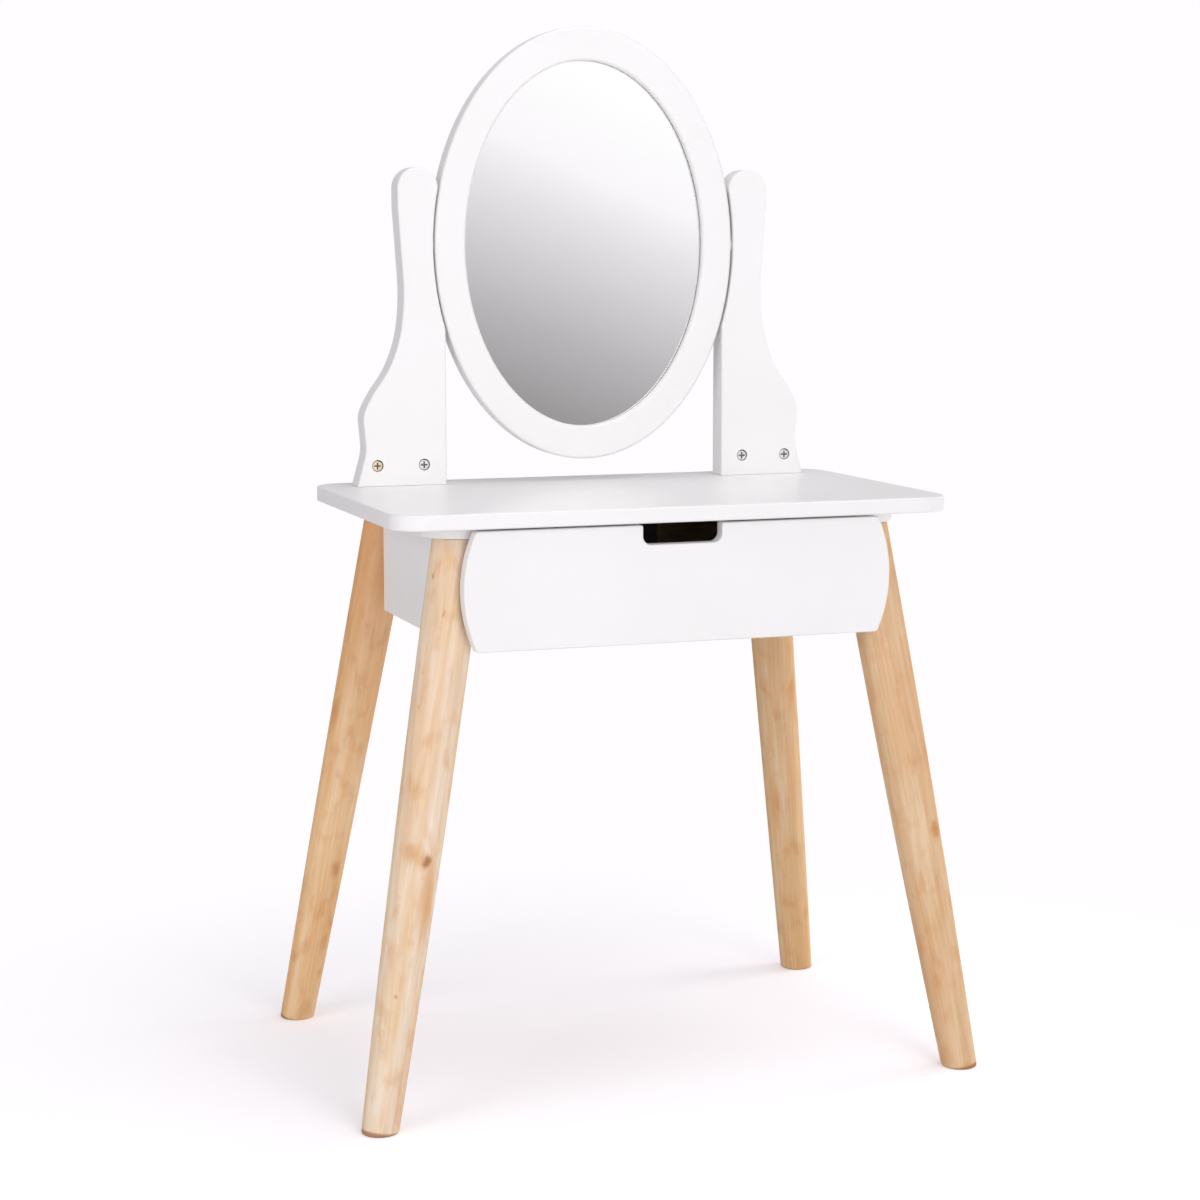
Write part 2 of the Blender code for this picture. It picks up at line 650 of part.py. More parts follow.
def make_leg_fixing(name, top, table):
    """The bolt that stands out of a leg's top, and the flanged nut in the board that takes it."""
    foot = Vector((top.x, top.y, top.z - LEG_BOLT_DEPTH))
    length = BOARD_TOP - SEAT_GAP - foot.z
    profile = [(0, 0), (LEG_BOLT_RADIUS - LEG_BOLT_TIP, 0), (LEG_BOLT_RADIUS, LEG_BOLT_TIP),
               (LEG_BOLT_RADIUS, length - LEG_BOLT_TIP),
               (LEG_BOLT_RADIUS - LEG_BOLT_TIP, length), (0, length)]
    place(turned("leg_bolt_" + name, profile, foot, (0, 0, 1), ROUND_SIDES), table, STEEL)
    bore = LEG_BOLT_RADIUS + SEAT_GAP
    barrel = bore + LEG_NUT_WALL
    shelf = BOARD_THICK - LEG_NUT_FLANGE - 2 * SEAT_GAP
    profile = [(bore, 0), (barrel, 0), (barrel, shelf), (LEG_NUT_FLANGE_RADIUS, shelf),
               (LEG_NUT_FLANGE_RADIUS, shelf + LEG_NUT_FLANGE), (bore, shelf + LEG_NUT_FLANGE)]
    seat = (top.x, top.y, BOARD_UNDER + SEAT_GAP)
    place(turned("leg_nut_" + name, profile, seat, (0, 0, 1), ROUND_SIDES, hollow=True), table, STEEL)


def make_case(table):
    """The case that the drawer slides in: two sides housed in the board, and a back housed in the sides."""
    groove_floor = CASE_INNER + CASE_HOUSING
    for side, sign in SIDES.items():
        low, high = sorted((sign * CASE_INNER, sign * CASE_OUTER))
        outline = rectangle(CASE_FRONT, CASE_REAR, CASE_UNDER, CASE_TOP + CASE_HOUSING)
        panel = prism("case_side_" + side, outline, low, high, "x", CASE_EASING)
        low, high = sorted((sign * (CASE_INNER - OVERRUN), sign * groove_floor))
        groove = rectangle(low, high, CASE_BACK_FRONT - SEAT_GAP, CASE_BACK_REAR + SEAT_GAP)
        cutters = [prism("cutter", groove, CASE_UNDER - OVERRUN, CASE_TOP + CASE_HOUSING + OVERRUN, "z")]
        heads = runner_screw_heads(sign).values()
        cutters += [countersink(head, (sign, 0, 0), RUNNER_SCREW) for head in heads]
        cut(panel, cutters)
        place(panel, table, WHITE_PAINT)
    outline = rectangle(SEAT_GAP - groove_floor, groove_floor - SEAT_GAP, CASE_UNDER, CASE_TOP)
    place(prism("case_back", outline, CASE_BACK_FRONT, CASE_BACK_REAR, "y"), table, INNER_PAINT)


def make_runners(table):
    """A wooden runner on each side of the case, whose tongue carries the drawer, and its screws."""
    for side, sign in SIDES.items():
        wall = sign * (CASE_INNER - SEAT_GAP)
        face = sign * (BOX_OUTER + RUNNER_PLAY)
        tip = sign * TONGUE_TIP
        low = TONGUE_LEVEL - RUNNER_HEIGHT / 2
        high = TONGUE_LEVEL + RUNNER_HEIGHT / 2
        section = [(wall, low), (face, low), (face, TONGUE_UNDER), (tip, TONGUE_UNDER), (tip, TONGUE_TOP),
                   (face, TONGUE_TOP), (face, high), (wall, high)]
        runner = prism("drawer_runner_" + side, section, CASE_FRONT, CASE_BACK_FRONT - SEAT_GAP, "y")
        heads = runner_screw_heads(sign)
        cut(runner, [countersink(head, (sign, 0, 0), RUNNER_SCREW) for head in heads.values()])
        place(runner, table, PALE_WOOD)
        for row, head in heads.items():
            screw = countersunk(f"runner_screw_{side}_{row}", head, (sign, 0, 0), RUNNER_SCREW)
            place(screw, table, STEEL)


def make_stop(table):
    """The block under the board that the drawer's back meets when it is pulled out, and its screw."""
    outline = rectangle(-STOP_WIDTH / 2, STOP_WIDTH / 2, STOP_FRONT, STOP_REAR)
    block = prism("drawer_stop", outline, STOP_UNDER, LEG_TOP, "z")
    cut(block, [countersink(stop_screw_head(), (0, 0, 1), STOP_SCREW)])
    place(block, table, PALE_WOOD)
    place(countersunk("stop_screw", stop_screw_head(), (0, 0, 1), STOP_SCREW), table, STEEL)


def make_drawer_front(drawer):
    """The painted front: level top and bottom, ends that bulge as arcs, and a finger slot in its top edge."""
    half_height = FRONT_HEIGHT / 2
    radius = (half_height ** 2 + FRONT_BULGE ** 2) / (2 * FRONT_BULGE)
    sweep = math.degrees(math.asin(half_height / radius))
    middle = FRONT_END - radius
    slot = SLOT_WIDTH / 2
    corner = slot - SLOT_CORNER
    floor = SLOT_FLOOR + SLOT_CORNER
    outline = arc((middle, FRONT_LEVEL), radius, -sweep, sweep, BULGE_STEPS)
    outline.append((slot, FRONT_TOP))
    outline += arc((corner, floor), SLOT_CORNER, 0, -90, CORNER_STEPS)
    outline += arc((-corner, floor), SLOT_CORNER, 270, 180, CORNER_STEPS)
    outline.append((-slot, FRONT_TOP))
    outline += arc((-middle, FRONT_LEVEL), radius, 180 - sweep, 180 + sweep, BULGE_STEPS)
    front = prism("drawer_front", outline, FRONT_FACE, FRONT_BACK, "y", FRONT_EASING)
    cut(front, [pilot(seat, (0, -1, 0), FRONT_SCREW) for seat in front_screw_seats().values()])
    place(front, drawer, WHITE_PAINT)


def make_drawer_box(drawer):
    """The box behind the front: grooved sides, inner front, back and a bottom housed in all four."""
    low = BOTTOM_UNDER - SEAT_GAP
    high = BOTTOM_TOP + SEAT_GAP
    floor = TONGUE_UNDER - SLIDE_PLAY
    ceiling = TONGUE_TOP + SEAT_GAP
    depth = TONGUE_TIP - SEAT_GAP
    for side, sign in SIDES.items():
        section = [(BOX_OUTER, BOX_UNDER), (BOX_OUTER, floor), (depth, floor), (depth, ceiling),
                   (BOX_OUTER, ceiling), (BOX_OUTER, BOX_TOP), (BOX_INNER, BOX_TOP), (BOX_INNER, high),
                   (BOTTOM_EDGE, high), (BOTTOM_EDGE, low), (BOX_INNER, low), (BOX_INNER, BOX_UNDER)]
        panel = prism("drawer_side_" + side, [(sign * x, z) for x, z in section], BOX_FRONT, BOX_BACK, "y")
        place(panel, drawer, BOX_WOOD)
    pilots = [pilot(seat, (0, -1, 0), FRONT_SCREW) for seat in front_screw_seats().values()]
    ends = {"drawer_inner_front": (BOX_FRONT, 1, pilots), "drawer_back": (BOX_BACK, -1, [])}
    for name, (outside, inwards, cutters) in ends.items():
        inside = outside + inwards * BOX_BOARD
        bed = inside - inwards * BOTTOM_HOUSING
        section = [(outside, BOX_UNDER), (inside, BOX_UNDER), (inside, low), (bed, low), (bed, high),
                   (inside, high), (inside, BOX_TOP), (outside, BOX_TOP)]
        panel = prism(name, section, SEAT_GAP - BOX_INNER, BOX_INNER - SEAT_GAP, "x")
        cut(panel, cutters)
        place(panel, drawer, BOX_WOOD)
    edge = BOTTOM_EDGE - SEAT_GAP
    reach = BOX_BOARD - BOTTOM_HOUSING + SEAT_GAP
    outline = rectangle(-edge, edge, BOX_FRONT + reach, BOX_BACK - reach)
    place(prism("drawer_bottom", outline, BOTTOM_UNDER, BOTTOM_TOP, "z"), drawer, BOX_WOOD)
    for side, seat in front_screw_seats().items():
        place(pan_head("front_screw_" + side, seat, (0, -1, 0), FRONT_SCREW), drawer, STEEL)


def post_outline():
    """A post's outline on the right: base, flared outer edge, round head, and the edge round the mirror."""
    knots = [(POST_BASE_INNER + u * POST_BASE_WIDTH, POST_UNDER + v * POST_HEIGHT)
             for u, v in POST_EDGE_SHARES]
    tall = MIRROR_HALF_HEIGHT + MIRROR_GAP
    head_z = POST_UNDER + POST_HEIGHT - POST_HEAD_RADIUS
    start = math.asin((head_z - PIVOT_Z) / tall)
    end = -math.acos(POST_BASE_INNER / MIRROR_SEAT)
    head_x = MIRROR_SEAT * math.cos(start) + POST_HEAD_RADIUS
    head = arc((head_x, head_z), POST_HEAD_RADIUS, 0, 180, 2 * CORNER_STEPS)
    turns = [start + (end - start) * i / BULGE_STEPS for i in range(1, BULGE_STEPS + 1)]
    inner = [(MIRROR_SEAT * math.cos(t), PIVOT_Z + tall * math.sin(t)) for t in turns]
    return curve_through(knots, POST_STEPS) + head + inner + [(POST_BASE_INNER, POST_UNDER)]


def make_posts(table):
    """The two posts, each with its cam fittings and the bush for the mirror's pin."""
    def on_base(start, end):
        """Whether an edge of the outline is the one that stands on the tabletop."""
        return max(start[1], end[1]) < POST_UNDER + SEAT_GAP

    for side, sign in SIDES.items():
        outline = [(sign * x, z) for x, z in post_outline()]
        post = prism("mirror_post_" + side, outline, POST_FRONT, POST_BACK, "y", POST_EASING, on_base)
        cams = {row: cam for (owner, row), cam in cam_places().items() if owner == side}
        cutters = []
        for cam in cams.values():
            cutters.append(drill((cam.x, POST_FRONT - OVERRUN, cam.z), (0, 1, 0), CAM_RADIUS + SEAT_GAP,
                                 OVERRUN + CAM_RECESS + CAM_LENGTH + SEAT_GAP))
            cutters.append(drill((cam.x, PIVOT_Y, POST_UNDER - OVERRUN), (0, 0, 1),
                                 CAM_BOLT_HEAD_RADIUS + SEAT_GAP, OVERRUN + CAM_RISE, SMALL_SIDES))
        cutters.append(drill((sign * (MIRROR_SEAT - OVERRUN), PIVOT_Y, PIVOT_Z), (sign, 0, 0),
                             BUSH_RADIUS + SEAT_GAP, OVERRUN + BUSH_LENGTH + SEAT_GAP))
        cut(post, cutters)
        place(post, table, WHITE_PAINT)
        for row, cam in cams.items():
            look = YELLOW_ZINC if (side, row) == ("left", "outer") else STEEL
            make_cam(f"{side}_{row}", cam, look, table)
        start = MIRROR_SEAT - SEAT_GAP - BUSH_FLANGE
        end = BUSH_FLANGE + SEAT_GAP + BUSH_LENGTH
        profile = [(BUSH_BORE, 0), (BUSH_FLANGE_RADIUS, 0), (BUSH_FLANGE_RADIUS, BUSH_FLANGE),
                   (BUSH_RADIUS, BUSH_FLANGE), (BUSH_RADIUS, end), (BUSH_BORE, end)]
        bush = turned("pivot_bush_" + side, profile, (sign * start, PIVOT_Y, PIVOT_Z), (sign, 0, 0),
                      ROUND_SIDES, hollow=True)
        place(bush, table, NYLON)


def make_cam(name, face, look, table):
    """A cam with a crosswise slot in its face, and the headed bolt that it draws down on."""
    profile = [(0, 0), (CAM_RADIUS - CAM_RIM, 0), (CAM_RADIUS, CAM_RIM), (CAM_RADIUS, CAM_LENGTH),
               (0, CAM_LENGTH)]
    cam = turned("cam_" + name, profile, face, (0, 1, 0), ROUND_SIDES)
    long = CAM_SLOT_LENGTH / 2
    narrow = CAM_SLOT_WIDTH / 2
    cutters = []
    for wide, tall in ((long, narrow), (narrow, long)):
        bar = rectangle(face.x - wide, face.x + wide, face.z - tall, face.z + tall)
        cutters.append(prism("cutter", bar, face.y - OVERRUN, face.y + CAM_SLOT_DEPTH, "y"))
    head_top = face.z + CAM_BOLT_HEAD / 2
    bore_foot = face.z - CAM_RADIUS - OVERRUN
    cutters.append(drill((face.x, PIVOT_Y, bore_foot), (0, 0, 1), CAM_BOLT_HEAD_RADIUS + SEAT_GAP,
                         head_top + SEAT_GAP - bore_foot, SMALL_SIDES))
    cut(cam, cutters)
    place(cam, table, look)
    collar = CAM_BOLT_DEPTH + SEAT_GAP + CAM_BOLT_COLLAR
    length = CAM_BOLT_DEPTH + head_top - TABLE_HEIGHT
    neck = length - CAM_BOLT_HEAD
    profile = [(0, 0), (CAM_BOLT_RADIUS, CAM_BOLT_TIP), (CAM_BOLT_RADIUS, collar),
               (CAM_BOLT_NECK_RADIUS, collar), (CAM_BOLT_NECK_RADIUS, neck), (CAM_BOLT_HEAD_RADIUS, neck),
               (CAM_BOLT_HEAD_RADIUS, length), (0, length)]
    foot = (face.x, PIVOT_Y, TABLE_HEIGHT - CAM_BOLT_DEPTH)
    place(turned("cam_bolt_" + name, profile, foot, (0, 0, 1), SMALL_SIDES), table, STEEL)


def make_mirror_frame(mirror):
    """The oval frame: a rebated ring with eased rims, bored for the pins and for the backing's screws."""
    outer = oval(MIRROR_HALF_WIDTH, MIRROR_HALF_HEIGHT)
    opening = oval(OPENING_HALF_WIDTH, OPENING_HALF_HEIGHT)
    rebate = oval(OPENING_HALF_WIDTH + REBATE_LIP, OPENING_HALF_HEIGHT + REBATE_LIP)
    loops = [(outer, MIRROR_BACK), (outer, MIRROR_FRONT), (opening, MIRROR_FRONT), (opening, REBATE_FRONT),
             (rebate, REBATE_FRONT), (rebate, MIRROR_BACK)]
    eased_loops = 3
    points = [(x, y, z) for outline, y in loops for x, z in outline]
    faces = []
    soft = []
    for loop in range(len(loops)):
        start = loop * OVAL_STEPS
        following = (loop + 1) % len(loops) * OVAL_STEPS
        for i in range(OVAL_STEPS):
            j = (i + 1) % OVAL_STEPS
            faces.append((start + i, start + j, following + j, following + i))
            if loop < eased_loops:
                soft.append((start + i, start + j))
    frame = solid("mirror_frame", points, faces, soft)
    ease(frame, FRAME_EASING)
    cutters = [drill((sign * (MIRROR_HALF_WIDTH + OVERRUN), PIVOT_Y, PIVOT_Z), (-sign, 0, 0),
                     PIN_RADIUS + SEAT_GAP, OVERRUN + PIN_SEAT + SEAT_GAP) for sign in SIDES.values()]
    cutters += [pilot(seat, (0, -1, 0), BACKING_SCREW) for seat in backing_screw_seats().values()]
    cut(frame, cutters)
    place(frame, mirror, WHITE_PAINT)


def make_mirror_glass(mirror):
    """The silvered glass, and the backing that holds it in the rebate with four screws."""
    outline = oval(OPENING_HALF_WIDTH + GLASS_LAP, OPENING_HALF_HEIGHT + GLASS_LAP)
    place(prism("mirror_glass", outline, GLASS_FRONT, GLASS_FRONT + GLASS_THICK, "y"), mirror, SILVERED_GLASS)
    reach = REBATE_LIP - SEAT_GAP
    outline = oval(OPENING_HALF_WIDTH + reach, OPENING_HALF_HEIGHT + reach)
    backing = prism("mirror_backing", outline, BACKING_FRONT, BACKING_REAR, "y")
    seats = backing_screw_seats()
    cut(backing, [pilot(seat, (0, -1, 0), BACKING_SCREW) for seat in seats.values()])
    place(backing, mirror, HARDBOARD)
    for name, seat in seats.items():
        place(pan_head("backing_screw_" + name, seat, (0, -1, 0), BACKING_SCREW), mirror, STEEL)


def make_pins(mirror):
    """The two pins that the mirror turns on, fast in the frame and running in the posts' bushes."""
    length = PIN_SEAT + MIRROR_GAP + BUSH_LENGTH - SEAT_GAP
    profile = [(0, 0), (PIN_RADIUS - PIN_TIP, 0), (PIN_RADIUS, PIN_TIP), (PIN_RADIUS, length - PIN_TIP),
               (PIN_RADIUS - PIN_TIP, length), (0, length)]
    for side, sign in SIDES.items():
        start = (sign * (MIRROR_HALF_WIDTH - PIN_SEAT), PIVOT_Y, PIVOT_Z)
        place(turned("pivot_pin_" + side, profile, start, (sign, 0, 0), ROUND_SIDES), mirror, STEEL)


def centre_over_footprint(table):
    """Moves the table back or forth until the middle of its whole depth is at zero."""
    bpy.context.view_layer.update()
    depths = [(item.matrix_world @ Vector(corner)).y
              for item in bpy.data.objects if item.type == "MESH" for corner in item.bound_box]
    table.empty.location.y -= (min(depths) + max(depths)) / 2


def main():
    """Builds the whole table."""
    clear_scene()
    table = carrier("dressing_table", (0, 0, 0))
    drawer = carrier("drawer_slide", (0, FRONT_FACE, BOX_UNDER), table)
    mirror = carrier("mirror_tilt", (0, PIVOT_Y, PIVOT_Z), table)
    make_tabletop(table)
    make_leg_board(table)
    for name, (top, foot) in leg_places().items():
        make_leg(name, top, foot, table)
        make_leg_fixing(name, top, table)
    make_case(table)
    make_runners(table)
    make_stop(table)
    make_drawer_front(drawer)
    make_drawer_box(drawer)
    make_posts(table)
    make_mirror_frame(mirror)
    make_mirror_glass(mirror)
    make_pins(mirror)
    centre_over_footprint(table)


main()
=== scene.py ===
"""Looks of a white dressing table with splayed pine legs, one drawer and an oval mirror between two posts.

Lengths are in metres, +Z is up, the drawer faces -Y and +X is to the right of someone facing the table.
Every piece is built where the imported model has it, so its object stays at the origin.
"""
import logging
import math
from dataclasses import dataclass, field
from enum import Enum

import bpy
import numpy as np
from mathutils import Matrix, Vector


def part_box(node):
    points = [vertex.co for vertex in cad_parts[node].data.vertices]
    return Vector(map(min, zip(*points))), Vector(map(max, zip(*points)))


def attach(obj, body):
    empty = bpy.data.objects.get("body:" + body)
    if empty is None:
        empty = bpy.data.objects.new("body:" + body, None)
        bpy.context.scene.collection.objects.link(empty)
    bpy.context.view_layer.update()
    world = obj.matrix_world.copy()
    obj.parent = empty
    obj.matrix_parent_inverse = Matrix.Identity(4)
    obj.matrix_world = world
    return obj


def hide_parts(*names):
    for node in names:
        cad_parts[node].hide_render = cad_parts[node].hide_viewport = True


Array = np.ndarray
Material = bpy.types.Material
Tree = bpy.types.NodeTree
Socket = bpy.types.NodeSocket
Inputs = dict | list | tuple
Pair = tuple[float, float]
Triple = tuple[float, float, float]

LOG = logging.getLogger("dressing_table")
SMOOTH_BELOW = math.radians(38)  # edges that turn by less are shaded smooth
ROUND_BELOW = math.radians(25)  # an outline's corners that turn by less are left alone
# Shares of a cross's reach and depth
CROSS_FLOOR, CROSS_WALL, CROSS_RIM = (0.86, 1.0), (0.97, 0.12), (1.04, 0.0)


class Axis(Enum):
    """The axis that an outline faces, as the order in which its (u, v, w) become (x, y, z)."""

    X = (2, 0, 1)
    Y = (0, 2, 1)
    Z = (0, 1, 2)


class Side(Enum):
    """The table's two sides, as seen by someone facing it, with the sign of x there."""

    LEFT = -1
    RIGHT = 1

    @property
    def word(self) -> str:
        """The side as nodes are named for it."""
        return self.name.lower()


class Row(Enum):
    """The two pairs of legs."""

    FRONT = "front"
    REAR = "rear"


Place = tuple[Row, Side]
PLACES = FRONT_LEFT, FRONT_RIGHT, REAR_LEFT, REAR_RIGHT = [(row, side) for row in Row for side in Side]


class Body(Enum):
    """The rigid bodies that pieces ride on."""

    TABLE = "table"
    DRAWER = "drawer"
    MIRROR = "mirror"


class Slot(Enum):
    """The record's material slots."""

    LACQUER = "white_lacquer"
    WOOD = "pale_wood"
    BOX = "box_wood"
    HARDBOARD = "hardboard"
    GLASS = "mirror_glass"
    ZINC = "zinc_steel"
    YELLOW = "yellow_zinc"
    NYLON = "nylon"


@dataclass(frozen=True)
class Coat:
    """A finish made up: its material, and the record's slot that it stands for."""

    material: Material
    slot: Slot


@dataclass(frozen=True)
class Box:
    """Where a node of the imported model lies, by its lowest and highest corners."""

    low: Vector
    high: Vector

    @classmethod
    def of(cls, node: str) -> "Box":
        """Looks a node up."""
        return cls(*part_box(node))

    @property
    def middle(self) -> Vector:
        """The middle of the box."""
        return (self.low + self.high) / 2

    @property
    def size(self) -> Vector:
        """The box's width, depth and height."""
        return self.high - self.low


# Shapes

def unit(vectors: Array) -> Array:
    """Scales vectors, held along the last axis, to length one."""
    return vectors / np.linalg.norm(vectors, axis=-1, keepdims=True)


def arc(middle: Pair, radius: float, start: float, end: float, steps: int = 24) -> Array:
    """Points of an arc: the middle plus the radius times (cos t, sin t), with t running evenly.

    Args:
        middle: the arc's middle.
        radius: its radius.
        start: the angle of its first point, in degrees.
        end: the angle of its last point, in degrees.
        steps: how many equal steps it takes.

    Returns:
        The steps + 1 points.
    """
    t = np.radians(np.linspace(start, end, steps + 1))
    return np.array(middle) + radius * np.stack([np.cos(t), np.sin(t)], axis=1)


def rectangle(low: Pair, high: Pair) -> Array:
    """Outline of a rectangle between two corners, anticlockwise."""
    return np.array([low, (high[0], low[1]), high, (low[0], high[1])], dtype=float)


def round_rectangle(low: Pair, high: Pair, corner: float) -> Array:
    """Outline of a rectangle whose corners are quarter circles, anticlockwise.

    Args:
        low: the corner with the lowest coordinates.
        high: the corner with the highest coordinates.
        corner: the radius of the corners.

    Returns:
        The outline's points.
    """
    left, right = low[0] + corner, high[0] - corner
    under, over = low[1] + corner, high[1] - corner
    middles = ((right, under), (right, over), (left, over), (left, under))
    return np.concatenate([arc(middle, corner, 90 * i - 90, 90 * i) for i, middle in enumerate(middles)])


def soften(outline: Array, radius: float, steps: int = 4) -> Array:
    """Replaces each sharp corner of an outline by a short curve.

    It is the quadratic Bezier (1 - t)^2 start + 2 t (1 - t) corner + t^2 end, from the point one radius
    before the corner to the point one radius after it.

    Args:
        outline: closed outline of (n, 2) points.
        radius: how far before and after the corner the curve starts and ends.
        steps: steps of each curve.

    Returns:
        The outline with its corners softened.
    """
    before = unit(np.roll(outline, 1, axis=0) - outline)
    after = unit(np.roll(outline, -1, axis=0) - outline)
    sharp = (before * after).sum(axis=1) > -math.cos(ROUND_BELOW)
    t = np.linspace(0, 1, steps + 1)[None, :, None]
    start, end = (outline + before * radius)[:, None], (outline + after * radius)[:, None]
    curve = (1 - t) ** 2 * start + 2 * t * (1 - t) * outline[:, None] + t ** 2 * end
    curve[~sharp] = outline[~sharp, None]
    return curve[sharp[:, None] | (np.arange(steps + 1) == 0)]


def spline(knots: Array, steps: int) -> Array:
    """Catmull-Rom spline: each span is the cubic through its two knots whose slopes at them are half the
    difference of the knots on either side.

    Args:
        knots: (n, 2) knots.
        steps: points in each span.

    Returns:
        The spline's points, the last knot included.
    """
    padded = np.concatenate([knots[:1], knots, knots[-1:]])
    a, b, c, d = (padded[i:len(padded) - 3 + i, None] for i in range(4))
    t = np.linspace(0, 1, steps, endpoint=False)[None, :, None]
    cubic = 2 * b + (c - a) * t + (2 * a - 5 * b + 4 * c - d) * t ** 2 + (3 * b - a - 3 * c + d) * t ** 3
    return np.concatenate([cubic.reshape(-1, 2) / 2, knots[-1:]])


def oval(middle: Pair, half_width: float, half_height: float, steps: int) -> tuple[Array, Array]:
    """An upright ellipse: (a cos t, b sin t) round its middle, with normals along (cos t / a, sin t / b).

    Args:
        middle: the ellipse's middle.
        half_width: a.
        half_height: b.
        steps: how many points it has.

    Returns:
        Its points and its outward unit normals.
    """
    t = np.linspace(0, 2 * np.pi, steps, endpoint=False)
    points = np.array(middle) + np.stack([half_width * np.cos(t), half_height * np.sin(t)], axis=1)
    return points, unit(np.stack([np.cos(t) / half_width, np.sin(t) / half_height], axis=1))


def mitres(outline: Array) -> Array:
    """Outward mitre vectors of an anticlockwise outline.

    At each point it is the sum of the unit normals of the two edges there over one plus their dot product,
    so an outline moved by it along its whole length moves each edge by one.

    Args:
        outline: closed outline of (n, 2) points.

    Returns:
        One vector for each point.
    """
    ahead = unit(np.roll(outline, -1, axis=0) - outline)
    normal = np.stack([ahead[:, 1], -ahead[:, 0]], axis=1)
    before = np.roll(normal, 1, axis=0)
    return (normal + before) / (1 + (normal * before).sum(axis=1, keepdims=True))


def quarter_round(radius: float, steps: int) -> tuple[Array, Array, Array]:
    """A quarter round, with t from 0 to a right angle.

    Args:
        radius: its radius.
        steps: how many equal steps it takes.

    Returns:
        Its insets radius (1 - sin t), its rises radius (1 - cos t) and how much of each point is rim, sin 2t.
    """
    t = np.linspace(0, np.pi / 2, steps + 1)
    return radius * (1 - np.sin(t)), radius * (1 - np.cos(t)), np.sin(2 * t)


def lift(flat: Array, levels: Array, axis: Axis) -> Array:
    """Lays (rows, n, 2) outlines at their levels along an axis, as a grid of points."""
    depth = np.broadcast_to(levels[:, None, None], (*flat.shape[:2], 1))
    return np.concatenate([flat, depth], axis=2)[..., axis.value]


@dataclass
class Shell:
    """Grids of points gathered into one closed mesh, with the share of rim at each point."""

    points: list[Array] = field(default_factory=list)
    faces: list[list[int]] = field(default_factory=list)
    rims: list[Array] = field(default_factory=list)
    count: int = 0

    def add(self, grid: Array, rim: Array | None = None, ring: bool = False, open_start: bool = False,
            hollow: bool = False) -> "Shell":
        """Adds a grid whose columns close on themselves.

        Quads join neighbouring rows and columns. The first and last rows are capped, unless the rows close
        on themselves too.

        Args:
            grid: (rows, columns, 3) points.
            rim: for each row, from 0 on a flat to 1 in the middle of an eased rim.
            ring: whether the last row joins the first.
            open_start: whether the first row is left without its cap.
            hollow: whether the faces look to the inside, as in a hole, where the first row has no cap.

        Returns:
            The shell.
        """
        rows, columns = grid.shape[:2]
        r, c = np.meshgrid(np.arange(rows if ring else rows - 1), np.arange(columns), indexing="ij")
        here, below, beside = r * columns, (r + 1) % rows * columns, (c + 1) % columns
        quads = np.stack([here + c, here + beside, below + beside, below + c], -1).reshape(-1, 4) + self.count
        self.faces += (quads[:, ::-1] if hollow else quads).tolist()
        first = np.arange(columns) + self.count
        last = first + (rows - 1) * columns
        if not ring:
            self.faces.append((last[::-1] if hollow else last).tolist())
        if not (ring or open_start or hollow):
            self.faces.append(first[::-1].tolist())
        self.points.append(grid.reshape(-1, 3))
        self.rims.append(np.repeat(np.zeros(rows) if rim is None else rim, columns))
        self.count += rows * columns
        return self

    def piece(self, node: str, coat: Coat, body: Body) -> None:
        """Makes the shell a piece of the table, in place of a node.

        Args:
            node: the node that it stands for.
            coat: its finish.
            body: the body it rides on.
        """
        name = node + "_shown"
        points = np.concatenate(self.points)
        mesh = bpy.data.meshes.new(name)
        mesh.from_pydata(points, [], self.faces)
        mesh.attributes.new("rim", "FLOAT", "POINT").data.foreach_set("value", np.concatenate(self.rims))
        mesh.calc_loop_triangles()
        corners = np.empty(len(mesh.loop_triangles) * 3, dtype=np.int32)
        mesh.loop_triangles.foreach_get("vertices", corners)
        a, b, c = points[corners.reshape(-1, 3)].transpose(1, 0, 2)
        if (a * np.cross(b, c)).sum() < 0:
            mesh.flip_normals()
        mesh.shade_smooth()
        mesh.set_sharp_from_angle(angle=SMOOTH_BELOW)
        mesh.materials.append(coat.material)
        item = bpy.data.objects.new(name, mesh)
        bpy.context.scene.collection.objects.link(item)
        weighted = item.modifiers.new("flats stay flat", "WEIGHTED_NORMAL")
        weighted.keep_sharp = True
        weighted.weight = 100
        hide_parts(node)
        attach(item, body.value)
        LOG.info("%s rides on %s: %d points", name, body.value, self.count)


@dataclass(frozen=True)
class Hole:
    """A round blind hole in a board's low face: its middle, radius and depth, and the softness of its rim."""

    u: float
    v: float
    radius: float
    depth: float
    softness: float = 0.0004

    def grid(self, face: float, axis: Axis, columns: int = 48) -> Array:
        """Rings of the hole: (u + r cos t, v + r sin t), from the face's level down to the floor.

        Args:
            face: the face's level.
            axis: the axis that the board's outline faces.
            columns: points round each ring, a multiple of four.

        Returns:
            The rings' points.
        """
        t = np.linspace(0, 2 * np.pi, columns, endpoint=False)
        radius = self.radius + self.softness * np.array([1.0, 0.3, 0.0, 0.0])
        level = face + np.array([0.0, self.softness * 0.3, self.softness, self.depth])
        flat = np.array([self.u, self.v]) + radius[:, None, None] * np.stack([np.cos(t), np.sin(t)], axis=-1)
        return lift(flat, level, axis)


